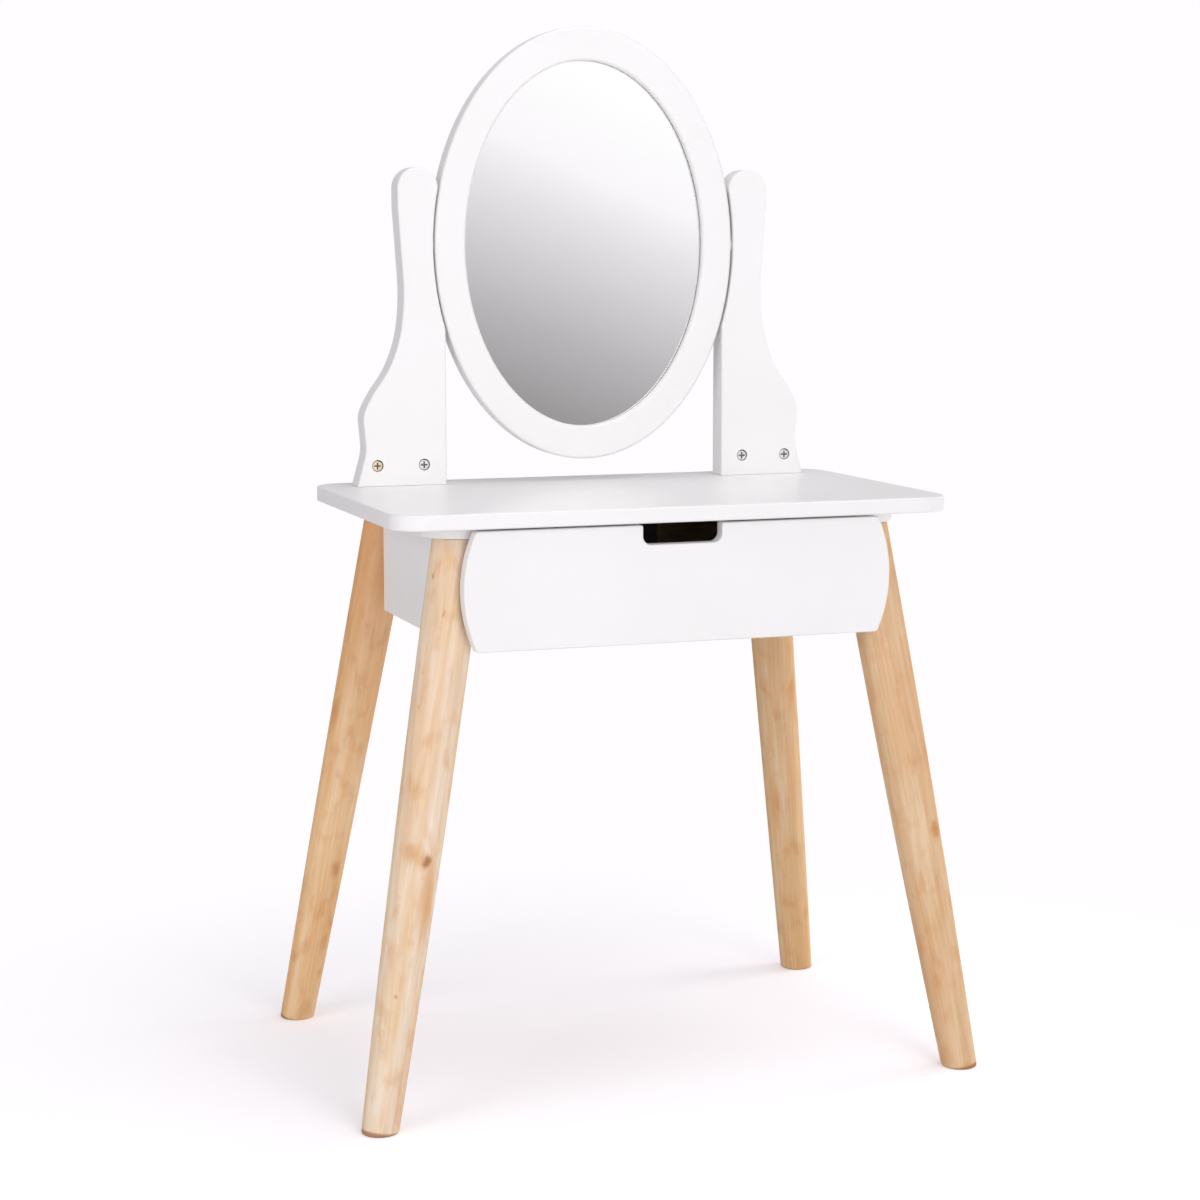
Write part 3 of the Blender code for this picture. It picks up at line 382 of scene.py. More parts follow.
def pierce(shell: Shell, outline: Array, holes: list[Hole], face: float, axis: Axis) -> None:
    """Caps a board's first row round a row of holes that share one level, and adds the holes.

    The cap is cut along the holes' level into an upper and a lower face. Each runs along its part of the
    outline and back over its half of every hole.

    Args:
        shell: the board, with an open start, as its only grid.
        outline: the first row's outline.
        holes: the holes, from low u to high u.
        face: the face's level.
        axis: the axis that the outline faces.
    """
    off_level = np.abs(outline[:, 1] - holes[0].v)
    right = int(np.argmin(np.where(outline[:, 0] > holes[-1].u, off_level, np.inf)))
    left = int(np.argmin(np.where(outline[:, 0] < holes[0].u, off_level, np.inf)))
    count = len(outline)
    over = [(right + i) % count for i in range((left - right) % count + 1)]
    under = [(left + i) % count for i in range((right - left) % count + 1)]
    back = []
    for hole in holes:
        grid = hole.grid(face, axis)
        start, columns = shell.count, grid.shape[1]
        shell.add(grid, hollow=True)
        over += [start + i for i in range(columns // 2, -1, -1)]
        back = [start + i % columns for i in range(columns, columns // 2 - 1, -1)] + back
    shell.faces += [over[::-1], (under + back)[::-1]]


def plate(outline: Array, low: float, high: float, easing: float, axis: Axis, stands: bool = False,
          steps: int = 6, holes: list[Hole] | None = None) -> Shell:
    """A board cut to an outline, whose rims are eased to a quarter round.

    Args:
        outline: closed anticlockwise outline of (n, 2) points.
        low: where the board starts along its axis.
        high: where it ends.
        easing: radius of the rims.
        axis: the axis that the outline faces.
        stands: whether the outline's lowest edge stays square, because the board stands on it.
        steps: steps of each rim.
        holes: blind holes in the low face, on one level, from low u to high u.

    Returns:
        The board's shell.
    """
    offsets = mitres(outline)
    if stands:
        base = outline[:, 1] < outline[:, 1].min() + 1e-5
        offsets[base] = np.stack([np.sign(offsets[base, 0]), np.zeros(base.sum())], axis=1)
    inset, rise, rim = quarter_round(easing, steps)
    insets = np.concatenate([inset, inset[::-1]])
    flat = outline[None] - offsets[None] * insets[:, None, None]
    grid = lift(flat, np.concatenate([low + rise, high - rise[::-1]]), axis)
    shell = Shell().add(grid, rim=np.tile(rim, 2), open_start=bool(holes))
    if holes:
        pierce(shell, flat[0], holes, low, axis)
    return shell


def merged(node: str) -> Shell:
    """A copy of a node's own mesh, its loose triangles merged where their corners meet.

    Args:
        node: the node.

    Returns:
        The copy's shell.
    """
    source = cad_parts[node].data
    points = np.empty(len(source.vertices) * 3, dtype=np.float32)
    source.vertices.foreach_get("co", points)
    keys, index = np.unique(np.round(points.reshape(-1, 3), 6), axis=0, return_inverse=True)
    corners = np.empty(len(source.loops), dtype=np.int32)
    source.loops.foreach_get("vertex_index", corners)
    faces = index.reshape(-1)[corners].reshape(-1, 3).tolist()
    return Shell([keys.astype(float)], faces, [np.zeros(len(keys))], len(keys))


def frame_axes(direction: Vector) -> tuple[Array, Array, Array]:
    """A frame along a direction: the direction itself and two unit vectors square to it and each other.

    Args:
        direction: any vector.

    Returns:
        The two vectors across the direction, and the direction at length one, as arrays.
    """
    along = np.array(direction.normalized())
    across = unit(np.cross(along, (0.0, 0.0, 1.0) if abs(along[2]) < 0.9 else (1.0, 0.0, 0.0)))
    return across, np.cross(along, across), along


def spun(radius: Array, height: Array, t: Array, start: Vector, direction: Vector) -> Array:
    """Rings about a line: start + h along + r (cos t across + sin t deep), as a grid of points."""
    across, deep, along = frame_axes(direction)
    return np.array(start) + height * along + radius * (np.cos(t) * across + np.sin(t) * deep)


def turned(profile: list[Pair], start: Vector, direction: Vector, hollow: bool = False,
           columns: int = 64) -> Shell:
    """A body of revolution: each radius and height of the profile gives a ring.

    Args:
        profile: radii and heights.
        start: where heights are measured from.
        direction: the way they rise.
        hollow: whether the profile closes on itself.
        columns: points round each ring.

    Returns:
        The body's shell.
    """
    radius, height = np.array(profile).T[:, :, None, None]
    t = np.linspace(0, 2 * np.pi, columns, endpoint=False)[None, :, None]
    return Shell().add(spun(radius, height, t, start, direction), ring=hollow)


def cross_headed(profile: list[Pair], start: Vector, direction: Vector, arm: float, width: float,
                 depth: float) -> Shell:
    """A turned body with a cross sunk in its first face.

    The cross's edge at angle t is the longer of the two arms' reach, where an arm reaches the lesser of
    arm / |cos t| and width / |sin t|. The same angles serve the cross and the rings, and they include
    the cross's corners, so its walls stand square.

    Args:
        profile: radii and heights from the face's rim to the far end.
        start: the middle of the face.
        direction: into the body.
        arm: half the cross's length.
        width: half the width of its arms.
        depth: how far it is sunk.

    Returns:
        The body's shell.
    """
    corner = math.atan2(width, arm)
    quarter = np.concatenate([np.linspace(-corner, corner, 3), np.linspace(corner, np.pi / 4, 4)[1:],
                              np.linspace(np.pi / 4, np.pi / 2 - corner, 4)[1:-1]])
    t = np.concatenate([quarter + turn * np.pi / 2 for turn in range(4)])[None, :, None]
    cos, sin = np.abs(np.cos(t)) + 1e-9, np.abs(np.sin(t)) + 1e-9
    reach = np.maximum(np.minimum(arm / cos, width / sin), np.minimum(arm / sin, width / cos))
    reaches, depths = np.array([CROSS_FLOOR, CROSS_WALL, CROSS_RIM]).T[:, :, None, None]
    radius, height = np.array(profile).T[:, :, None, None]
    rings = np.broadcast_to(radius, (len(profile), t.shape[1], 1))
    radius = np.concatenate([reach * reaches, rings])
    height = np.concatenate([depth * depths + height[0], height])
    return Shell().add(spun(radius, height, t, start, direction))


# Finishes

def linear(colour: str) -> tuple[float, float, float, float]:
    """sRGB hex to linear RGBA: c / 12.92 below 0.04045, ((c + 0.055) / 1.055) ^ 2.4 above."""
    c = np.array([int(colour[i:i + 2], 16) for i in (0, 2, 4)]) / 255
    return (*np.where(c <= 0.04045, c / 12.92, ((c + 0.055) / 1.055) ** 2.4).tolist(), 1.0)


def fill(tree: Tree, node: bpy.types.Node, inputs: Inputs) -> None:
    """Fills a node's sockets: another node's socket is linked, anything else is set.

    Args:
        tree: the node's tree.
        node: the node.
        inputs: what goes into the sockets, by name or number, or as a list in their order. A Map Range's
            list is the value, the range it comes from and the range it goes to.
    """
    for key, value in inputs.items() if isinstance(inputs, dict) else enumerate(inputs):
        if isinstance(value, Socket):
            tree.links.new(value, node.inputs[key])
        else:
            node.inputs[key].default_value = value


def add_node(tree: Tree, kind: str, inputs: Inputs = (), output: int | str | None = 0,
             **settings: object) -> Socket | bpy.types.Node:
    """Adds a shader node with its settings and links.

    Args:
        tree: the node tree.
        kind: the node's type, without its prefix.
        inputs: what goes into its sockets; see fill.
        output: the output that is wanted.
        settings: the node's own properties.

    Returns:
        The output's socket, or the node if output is None.
    """
    node = tree.nodes.new("ShaderNode" + kind)
    for key, value in settings.items():
        setattr(node, key, value)
    fill(tree, node, inputs)
    return node if output is None else node.outputs[output]


@dataclass(frozen=True)
class Finish:
    """What every finish shares: its name, the record's slot that it stands for, and how it is made up.

    Scales count a pattern's features in a metre.
    """

    name: str
    slot: Slot

    def coat(self) -> Coat:
        """Makes the finish up.

        Returns:
            The coat, its material named for the finish.
        """
        made = bpy.data.materials.new(self.name)
        made.use_nodes = True
        tree = made.node_tree
        place = add_node(tree, "TexCoord", output="Object")
        fill(tree, tree.nodes["Principled BSDF"], self.shade(tree, place))
        return Coat(made, self.slot)

    def shade(self, tree: Tree, place: Socket) -> dict[str, object]:
        """Adds the finish's nodes.

        Args:
            tree: the material's tree.
            place: where a point is on the table, in metres.

        Returns:
            What goes into the shader's sockets.
        """
        raise NotImplementedError


@dataclass(frozen=True)
class SprayedLacquer(Finish):
    """Satin white lacquer, sprayed on fibreboard and sanded between coats.

    It gives the eye an even, soft sheen with a faint orange peel about 2.5 mm across, tone that drifts a
    little over a hand's breadth, and rims where the coat is thinner and a touch greyer.
    """

    colour: str = "F4F2F3"
    drift: str = "EEECEC"
    rim: str = "E9E6E5"
    roughness: float = 0.36
    drift_scale: float = 7.0
    sheen_scale: float = 45.0
    grit_scale: float = 160.0
    peel_scale: float = 400.0
    peel_depth: float = 0.00006

    def shade(self, tree: Tree, place: Socket) -> dict[str, object]:
        """Adds drifting tone, thin rims, orange peel and an uneven sheen; see Finish.shade."""
        cloud = add_node(tree, "TexNoise", {"Vector": place, "Scale": self.drift_scale, "Detail": 3.0})
        tone = add_node(tree, "MapRange", [cloud, 0.35, 0.75, 0.0, 0.55])
        colour = add_node(tree, "Mix", {0: tone, 6: linear(self.colour), 7: linear(self.drift)}, 2,
                          data_type="RGBA")
        edge = add_node(tree, "Attribute", output="Fac", attribute_name="rim")
        grit = add_node(tree, "TexNoise", {"Vector": place, "Scale": self.grit_scale, "Detail": 4.0})
        worn = add_node(tree, "Math", [edge, grit], operation="MULTIPLY")
        colour = add_node(tree, "Mix", {0: worn, 6: colour, 7: linear(self.rim)}, 2, data_type="RGBA")
        patch = add_node(tree, "TexNoise", {"Vector": place, "Scale": self.sheen_scale, "Detail": 5.0})
        sheen = add_node(tree, "MapRange", [patch, 0.25, 0.75, self.roughness - 0.05, self.roughness + 0.06])
        peel = add_node(tree, "TexNoise", {"Vector": place, "Scale": self.peel_scale, "Detail": 2.0})
        bump = add_node(tree, "Bump", {"Height": peel, "Strength": 0.35, "Distance": self.peel_depth})
        return {"Base Color": colour, "Roughness": sheen, "Normal": bump, "IOR": 1.5}


@dataclass(frozen=True)
class Knot:
    """A knot: where it is on the table, in metres, its radius, how dark its heart is, how much it is drawn
    out along the grain, and how orange the wood round it is."""

    at: Triple
    radius: float
    dark: float = 0.8
    long: float = 1.3
    halo: float = 0.25


@dataclass(frozen=True)
class TurnedWood(Finish):
    """Pale softwood, turned or sawn, sanded and varnished, with its grain along one line.

    It gives the eye soft peach and orange streaks a finger wide and a hand long, faint yearly rings cut
    lengthwise about 4 mm apart, fine fibres along them, blotches where the varnish sank in, and small
    knots that the rings flow round. Each grain is its features in a metre across and along, and its octaves.
    A knot's spans are where its heart, halo and swerve start and are full, in its radii.
    """

    start: Triple
    end: Triple
    pith: Triple = (0.034, 0.021, 0.0)
    turn: float = 0.0
    pale: str = "F3DFCA"
    warm: str = "E4C196"
    late: str = "C4935F"
    blush: str = "EBC8A5"
    # orange of blotches and knot halos, and also the colour of the painted shade at a leg's top
    stain: str = "D99C60"
    heart: str = "9C6230"
    spacing: float = 0.0040
    contrast: float = 0.20
    roughness: float = 0.48
    gloss: float = 0.45
    edge_gloss: float = 0.04
    # share of painted shade at the top of a leg, under the board
    top_shade: float = 0.12
    # share of painted contact shade on a foot's eased rim, and the heights where it is full and where it ends
    rim: float = 0.0
    rim_heights: Pair = (0.0008, 0.0036)
    knots: tuple[Knot, ...] = ()
    wander: Triple = (14.0, 2.0, 2.0)
    wander_reach: float = 0.009
    taper: float = 0.045
    streak: Triple = (85.0, 7.0, 3.0)
    broad: Triple = (28.0, 5.0, 3.0)
    fibre: Triple = (1100.0, 24.0, 4.0)
    blotch: Triple = (60.0, 34.0, 4.0)
    relief_depth: float = 0.00006
    ragged_scale: float = 150.0
    ragged_reach: Triple = (0.006, 0.006, 0.012)
    heart_span: Pair = (1.5, 0.3)
    halo_span: Pair = (2.8, 0.6)
    swerve_span: Pair = (5.0, 0.0)
    swerve: float = 0.6

    def grain(self, tree: Tree, own: Socket, size: Triple) -> Socket:
        """Adds noise drawn out along the grain.

        Args:
            tree: the material's tree.
            own: the wood's own coordinates.
            size: features in a metre across and along the grain, and finer octaves.

        Returns:
            The noise's socket.
        """
        across, along, detail = size
        drawn = add_node(tree, "VectorMath", [own, (across, across, along)], operation="MULTIPLY")
        return add_node(tree, "TexNoise", {"Vector": drawn, "Scale": 1.0, "Detail": detail})

    def knotty(self, tree: Tree, own: Socket, ring: Socket, spin: Matrix) -> tuple[Socket, Socket, Socket]:
        """Bends the rings round the knots.

        Near a knot the distance from the pith grows by a smooth step, so the rings swerve. Its heart and the
        halo round it are smooth spots. Distances along the grain are shortened, so all are drawn out along
        it, and noise of a few millimetres makes their edges ragged.

        Args:
            tree: the material's tree.
            own: the wood's own coordinates.
            ring: the distance from the pith.
            spin: how the wood's own axes are turned on the table.

        Returns:
            The bent distance, and how much of each point is heart and halo.
        """
        core = glow = 0.0
        ragged = add_node(tree, "TexNoise", {"Vector": own, "Scale": self.ragged_scale, "Detail": 3.0},
                          "Color")
        bent = add_node(tree, "VectorMath", [ragged, self.ragged_reach, own], operation="MULTIPLY_ADD")
        for knot in self.knots:
            at = spin.transposed() @ (Vector(knot.at) - Vector(self.start)) + Vector(self.ragged_reach) / 2
            beside = add_node(tree, "VectorMath", [bent, at], operation="SUBTRACT")
            squashed = add_node(tree, "VectorMath", [beside, (1.0, 1.0, 1 / knot.long)], operation="MULTIPLY")
            away = add_node(tree, "VectorMath", [squashed], "Value", operation="LENGTH")
            spots = ((self.heart_span, knot.dark), (self.halo_span, knot.halo),
                     (self.swerve_span, knot.radius * self.swerve))
            heart, halo, push = (
                add_node(tree, "MapRange", [away, knot.radius * far, knot.radius * near, 0.0, most],
                         interpolation_type="SMOOTHSTEP") for (far, near), most in spots)
            ring = add_node(tree, "Math", [ring, push], operation="ADD")
            core = add_node(tree, "Math", [core, heart], operation="MAXIMUM")
            glow = add_node(tree, "Math", [glow, halo], operation="MAXIMUM")
        return ring, core, glow

    def shade(self, tree: Tree, place: Socket) -> dict[str, object]:
        """Adds rings round a pith beside the grain's line, fibres, streaks and knots; see Finish.shade."""
        along = Vector(self.end) - Vector(self.start)
        spin = Vector((0, 0, 1)).rotation_difference(along).to_matrix() @ Matrix.Rotation(self.turn, 3, "Z")
        own = add_node(tree, "Mapping", {"Vector": place, "Location": self.start,
                                         "Rotation": spin.to_euler()}, vector_type="TEXTURE")
        wander, streak, broad, fibre, blotch = (
            self.grain(tree, own, size)
            for size in (self.wander, self.streak, self.broad, self.fibre, self.blotch))
        shift = add_node(tree, "MapRange", [wander, 0.0, 1.0, -self.wander_reach, self.wander_reach])
        slope = add_node(tree, "VectorMath", [own, (1.0, 1.0, self.taper)], operation="MULTIPLY")
        apart = add_node(tree, "VectorMath", [slope, self.pith], operation="SUBTRACT")
        reach = add_node(tree, "VectorMath", [apart], "Value", operation="LENGTH")
        ring = add_node(tree, "Math", [reach, shift], operation="ADD")
        ring, core, glow = self.knotty(tree, own, ring, spin)
        year = add_node(tree, "Math", [ring, 1 / self.spacing], operation="MULTIPLY")
        part = add_node(tree, "Math", [year], operation="FRACT")
        rise = add_node(tree, "MapRange", [part, 0.10, 0.80, 0.0, 1.0], interpolation_type="SMOOTHSTEP")
        fall = add_node(tree, "MapRange", [part, 0.82, 1.0, 1.0, 0.0], interpolation_type="SMOOTHSTEP")
        band = add_node(tree, "Math", [rise, fall], operation="MULTIPLY")
        depth = add_node(tree, "MapRange", [broad, 0.35, 0.65, 0.1, 1.0])
        lines = add_node(tree, "Math", [band, depth], operation="MULTIPLY")
        lines = add_node(tree, "Math", [lines, self.contrast], operation="MULTIPLY")
        warmth = add_node(tree, "MapRange", [streak, 0.32, 0.68, 0.0, 1.0])
        pink = add_node(tree, "MapRange", [broad, 0.42, 0.7, 0.0, 0.8])
        sunk = add_node(tree, "MapRange", [blotch, 0.52, 0.75, 0.0, 0.5])
        height = add_node(tree, "SeparateXYZ", [own], "Z")
        # Painted shade: from a little below halfway up, the wood darkens toward the stain colour at its top,
        # under the board
        upper = add_node(tree, "MapRange", [height, along.length * 0.45, along.length, 0.0, self.top_shade])
        # Painted contact shade: the lowest few millimetres of a leg, where it meets the floor, darken toward
        # the heart colour
        foot = add_node(tree, "MapRange", [height, *self.rim_heights, self.rim, 0.0])
        colour = linear(self.pale)
        for share, other in ((warmth, self.warm), (pink, self.blush), (sunk, self.stain), (upper, self.stain),
                             (lines, self.late), (foot, self.heart)):
            colour = add_node(tree, "Mix", {0: share, 6: colour, 7: linear(other)}, 2, data_type="RGBA")
        shadow = add_node(tree, "MapRange", [fibre, 0.25, 0.75, 0.92, 1.05])
        colour = add_node(tree, "VectorMath", {0: colour, 3: shadow}, operation="SCALE")
        for share, other in ((glow, self.stain), (core, self.heart)) if self.knots else ():
            colour = add_node(tree, "Mix", {0: share, 6: colour, 7: linear(other)}, 2, data_type="RGBA")
        sheen = add_node(tree, "MapRange", [fibre, 0.2, 0.8, self.roughness - 0.05, self.roughness + 0.08])
        relief = add_node(tree, "Math", [fibre, band], operation="ADD")
        bump = add_node(tree, "Bump", {"Height": relief, "Strength": 0.4, "Distance": self.relief_depth})
        facing = add_node(tree, "LayerWeight", {"Blend": 0.5}, "Facing")
        shine = add_node(tree, "MapRange", [facing, 0.05, 0.7, self.gloss, self.edge_gloss])
        return {"Base Color": colour, "Roughness": sheen, "Normal": bump, "Specular IOR Level": shine}


@dataclass(frozen=True)
class Hardboard(Finish):
    """Hardboard, pressed from wood fibre: its smooth side is an even brown with darker fibre flecks about a
    millimetre long and a dull sheen."""

    colour: str = "8F6F4E"
    fleck: str = "6A4E35"
    fleck_scale: float = 900.0
    cloud_scale: float = 25.0
    fleck_depth: float = 0.0001

    def shade(self, tree: Tree, place: Socket) -> dict[str, object]:
        """Adds flecks in two sizes and a slight unevenness; see Finish.shade."""
        fine = add_node(tree, "TexNoise", {"Vector": place, "Scale": self.fleck_scale, "Detail": 6.0,
                                           "Roughness": 0.7})
        wide = add_node(tree, "TexNoise", {"Vector": place, "Scale": self.cloud_scale, "Detail": 4.0})
        flecks = add_node(tree, "MapRange", [fine, 0.5, 0.68, 0.0, 0.8])
        cloud = add_node(tree, "MapRange", [wide, 0.3, 0.7, 0.9, 1.08])
        base = add_node(tree, "Mix", {0: flecks, 6: linear(self.colour), 7: linear(self.fleck)}, 2,
                        data_type="RGBA")
        colour = add_node(tree, "VectorMath", {0: base, 3: cloud}, operation="SCALE")
        sheen = add_node(tree, "MapRange", [fine, 0.0, 1.0, 0.5, 0.75])
        bump = add_node(tree, "Bump", {"Height": fine, "Strength": 0.4, "Distance": self.fleck_depth})
        return {"Base Color": colour, "Roughness": sheen, "Normal": bump}


@dataclass(frozen=True)
class SilveredGlass(Finish):
    """Float glass silvered behind: a clean mirror, with a sheen that a wiped surface gives it and nothing
    more."""

    colour: str = "FBFBFB"
    marks: Triple = (9.0, 9.0, 40.0)

    def shade(self, tree: Tree, place: Socket) -> dict[str, object]:
        """Adds faint wiping marks to a mirror's sheen; see Finish.shade."""
        wiped = add_node(tree, "VectorMath", [place, self.marks], operation="MULTIPLY")
        marks = add_node(tree, "TexNoise", {"Vector": wiped, "Scale": 1.0, "Detail": 5.0})
        sheen = add_node(tree, "MapRange", [marks, 0.45, 0.8, 0.0, 0.035])
        tint = add_node(tree, "MapRange", [marks, 0.3, 0.8, 1.0, 0.985])
        colour = add_node(tree, "VectorMath", {0: linear(self.colour)[:3], 3: tint}, operation="SCALE")
        return {"Base Color": colour, "Roughness": sheen, "Metallic": 1.0}


@dataclass(frozen=True)
class PlatedZinc(Finish):
    """Zinc plating on cast or turned metal.

    It gives the eye a soft grey or yellow shine, cloudy in patches a few millimetres across, with a fine
    grain left by the casting. Behind a face, in a recess or down the sides, painted shade darkens it.
    """

    colour: str = "F0F0F2"
    cloud: str = "DADADD"
    # colour of the painted shade behind the face
    recess_shade: str = "757373"
    roughness: float = 0.36
    metal: float = 1.0
    face: float | None = None
    # depths behind the face where the painted shade starts and where it is full
    recess_shade_depths: Pair = (0.0001, 0.0009)
    cloud_scale: float = 320.0
    grain_scale: float = 2500.0
    grain_depth: float = 0.00003

    def shade(self, tree: Tree, place: Socket) -> dict[str, object]:
        """Adds cloudy plating, casting grain and painted shade behind the face; see Finish.shade."""
        patch = add_node(tree, "TexNoise", {"Vector": place, "Scale": self.cloud_scale, "Detail": 5.0})
        tone = add_node(tree, "MapRange", [patch, 0.35, 0.7, 0.0, 1.0])
        colour = add_node(tree, "Mix", {0: tone, 6: linear(self.colour), 7: linear(self.cloud)}, 2,
                          data_type="RGBA")
        # Painted shade: behind the face's level the colour darkens, in the cross, in the gap round the cam
        # and down its sides
        if self.face is not None:
            level = add_node(tree, "SeparateXYZ", [place], "Y")
            near, far = (self.face + depth for depth in self.recess_shade_depths)
            sunk = add_node(tree, "MapRange", [level, near, far, 0.0, 0.9])
            colour = add_node(tree, "Mix", {0: sunk, 6: colour, 7: linear(self.recess_shade)}, 2, data_type="RGBA")
        sheen = add_node(tree, "MapRange", [patch, 0.0, 1.0, self.roughness - 0.08, self.roughness + 0.15])
        grain = add_node(tree, "TexNoise", {"Vector": place, "Scale": self.grain_scale, "Detail": 2.0})
        bump = add_node(tree, "Bump", {"Height": grain, "Strength": 0.3, "Distance": self.grain_depth})
        return {"Base Color": colour, "Roughness": sheen, "Normal": bump, "Metallic": self.metal}


@dataclass(frozen=True)
class MouldedNylon(Finish):
    """Natural nylon from a mould: milky, slightly translucent and dull, with a fine spark-eroded skin."""

    colour: str = "ECEAE4"
    skin_scale: float = 1800.0
    skin_depth: float = 0.00004

    def shade(self, tree: Tree, place: Socket) -> dict[str, object]:
        """Adds milky tone and the mould's skin; see Finish.shade."""
        skin = add_node(tree, "TexNoise", {"Vector": place, "Scale": self.skin_scale, "Detail": 3.0})
        tone = add_node(tree, "MapRange", [skin, 0.0, 1.0, 0.94, 1.03])
        colour = add_node(tree, "VectorMath", {0: linear(self.colour)[:3], 3: tone}, operation="SCALE")
        sheen = add_node(tree, "MapRange", [skin, 0.0, 1.0, 0.42, 0.58])
        bump = add_node(tree, "Bump", {"Height": skin, "Strength": 0.3, "Distance": self.skin_depth})
        return {"Base Color": colour, "Roughness": sheen, "Normal": bump, "IOR": 1.53}


@dataclass(frozen=True)
class Finishes:
    """The finishes that the sub-assemblies share."""

    lacquer: Coat
    zinc: Coat
    silver: Coat
    yellow: Coat
    nylon: Coat
    glass: Coat
    hardboard: Coat
    pine_along: Coat
    pine_across: Coat
    # near-black wood: painted shade behind the finger slot
    pine_slot_shade: Coat


def dress(coat: Coat, *nodes: str) -> None:
    """Gives the model's own nodes a finish.

    Args:
        coat: the finish.
        nodes: the nodes that get it.
    """
    for node in nodes:
        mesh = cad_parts[node].data
        mesh.materials.clear()
        mesh.materials.append(coat.material)
        LOG.info("%s keeps its shape and is finished in %s", node, coat.material.name)


# Sub-assemblies

@dataclass(frozen=True)
class CrossScrew:
    """A cross-headed screw: its shank's radius, its head's height and form, and its cross as shares of the
    head's radius."""

    shank: float
    head: float
    countersunk: bool
    arm_share: float = 0.62
    width_share: float = 0.14
    depth_share: float = 0.35
    edge: float = 0.0003
    dome_from: float = 0.5
    dome_share: float = 0.9

    def build(self, node: str, direction: Vector, coat: Coat, body: Body) -> None:
        """Builds the screw where its node is.

        A dome's rings have the radius wide sin t and lie a share of the head's height times
        1 - cos t / cos(dome_from) from its top.

        Args:
            node: the node that it stands for.
            direction: the way it is driven.
            coat: its metal.
            body: the body it rides on.
        """
        box = Box.of(node)
        length = abs(box.size.dot(direction))
        wide = max(box.size[i] for i in range(3) if abs(direction[i]) < 0.5) / 2
        start = box.middle - direction * (length / 2)
        tip = [(self.shank, length - 2 * self.shank), (self.shank * 0.1, length)]
        if self.countersunk:
            head = [(wide - self.edge, 0.0), (wide, self.edge * 2 / 3), (self.shank, self.head)]
        else:
            t = np.linspace(self.dome_from, np.pi / 2, 6)
            rise = self.head * self.dome_share * (1 - np.cos(t) / math.cos(self.dome_from))
            dome = zip((wide * np.sin(t)).tolist(), rise.tolist())
            head = [*dome, (wide, self.head), (self.shank, self.head)]
        shares = (wide * self.arm_share, wide * self.width_share, wide * self.depth_share)
        cross_headed(head + tip, start, direction, *shares).piece(node, coat, body)


@dataclass
class Top:
    """The tabletop, the board under it and the screws between them."""

    corner: float = 0.035
    easing: float = 0.002
    screw: CrossScrew = CrossScrew(shank=0.0020, head=0.0024, countersunk=True)

    def build(self, finishes: Finishes) -> None:
        """Builds the two boards and their screws.

        Args:
            finishes: the shared finishes.
        """
        box = Box.of("tabletop")
        outline = round_rectangle(box.low.xy, box.high.xy, self.corner)
        board = plate(outline, box.low.z, box.high.z, self.easing, Axis.Z)
        board.piece("tabletop", finishes.lacquer, Body.TABLE)
        merged("leg_board").piece("leg_board", finishes.lacquer, Body.TABLE)
        for row, side in PLACES:
            node = f"top_screw_{row.value}_{side.word}"
            self.screw.build(node, Vector((0, 0, 1)), finishes.zinc, Body.TABLE)


@dataclass(frozen=True)
class LegLook:
    """What makes a leg's wood its own: its turn about its line, its knots, and its tones, partly the wood's
    own and partly painted light and shade.
    """

    turn: float
    tones: dict[str, object]
    knots: tuple[Knot, ...]


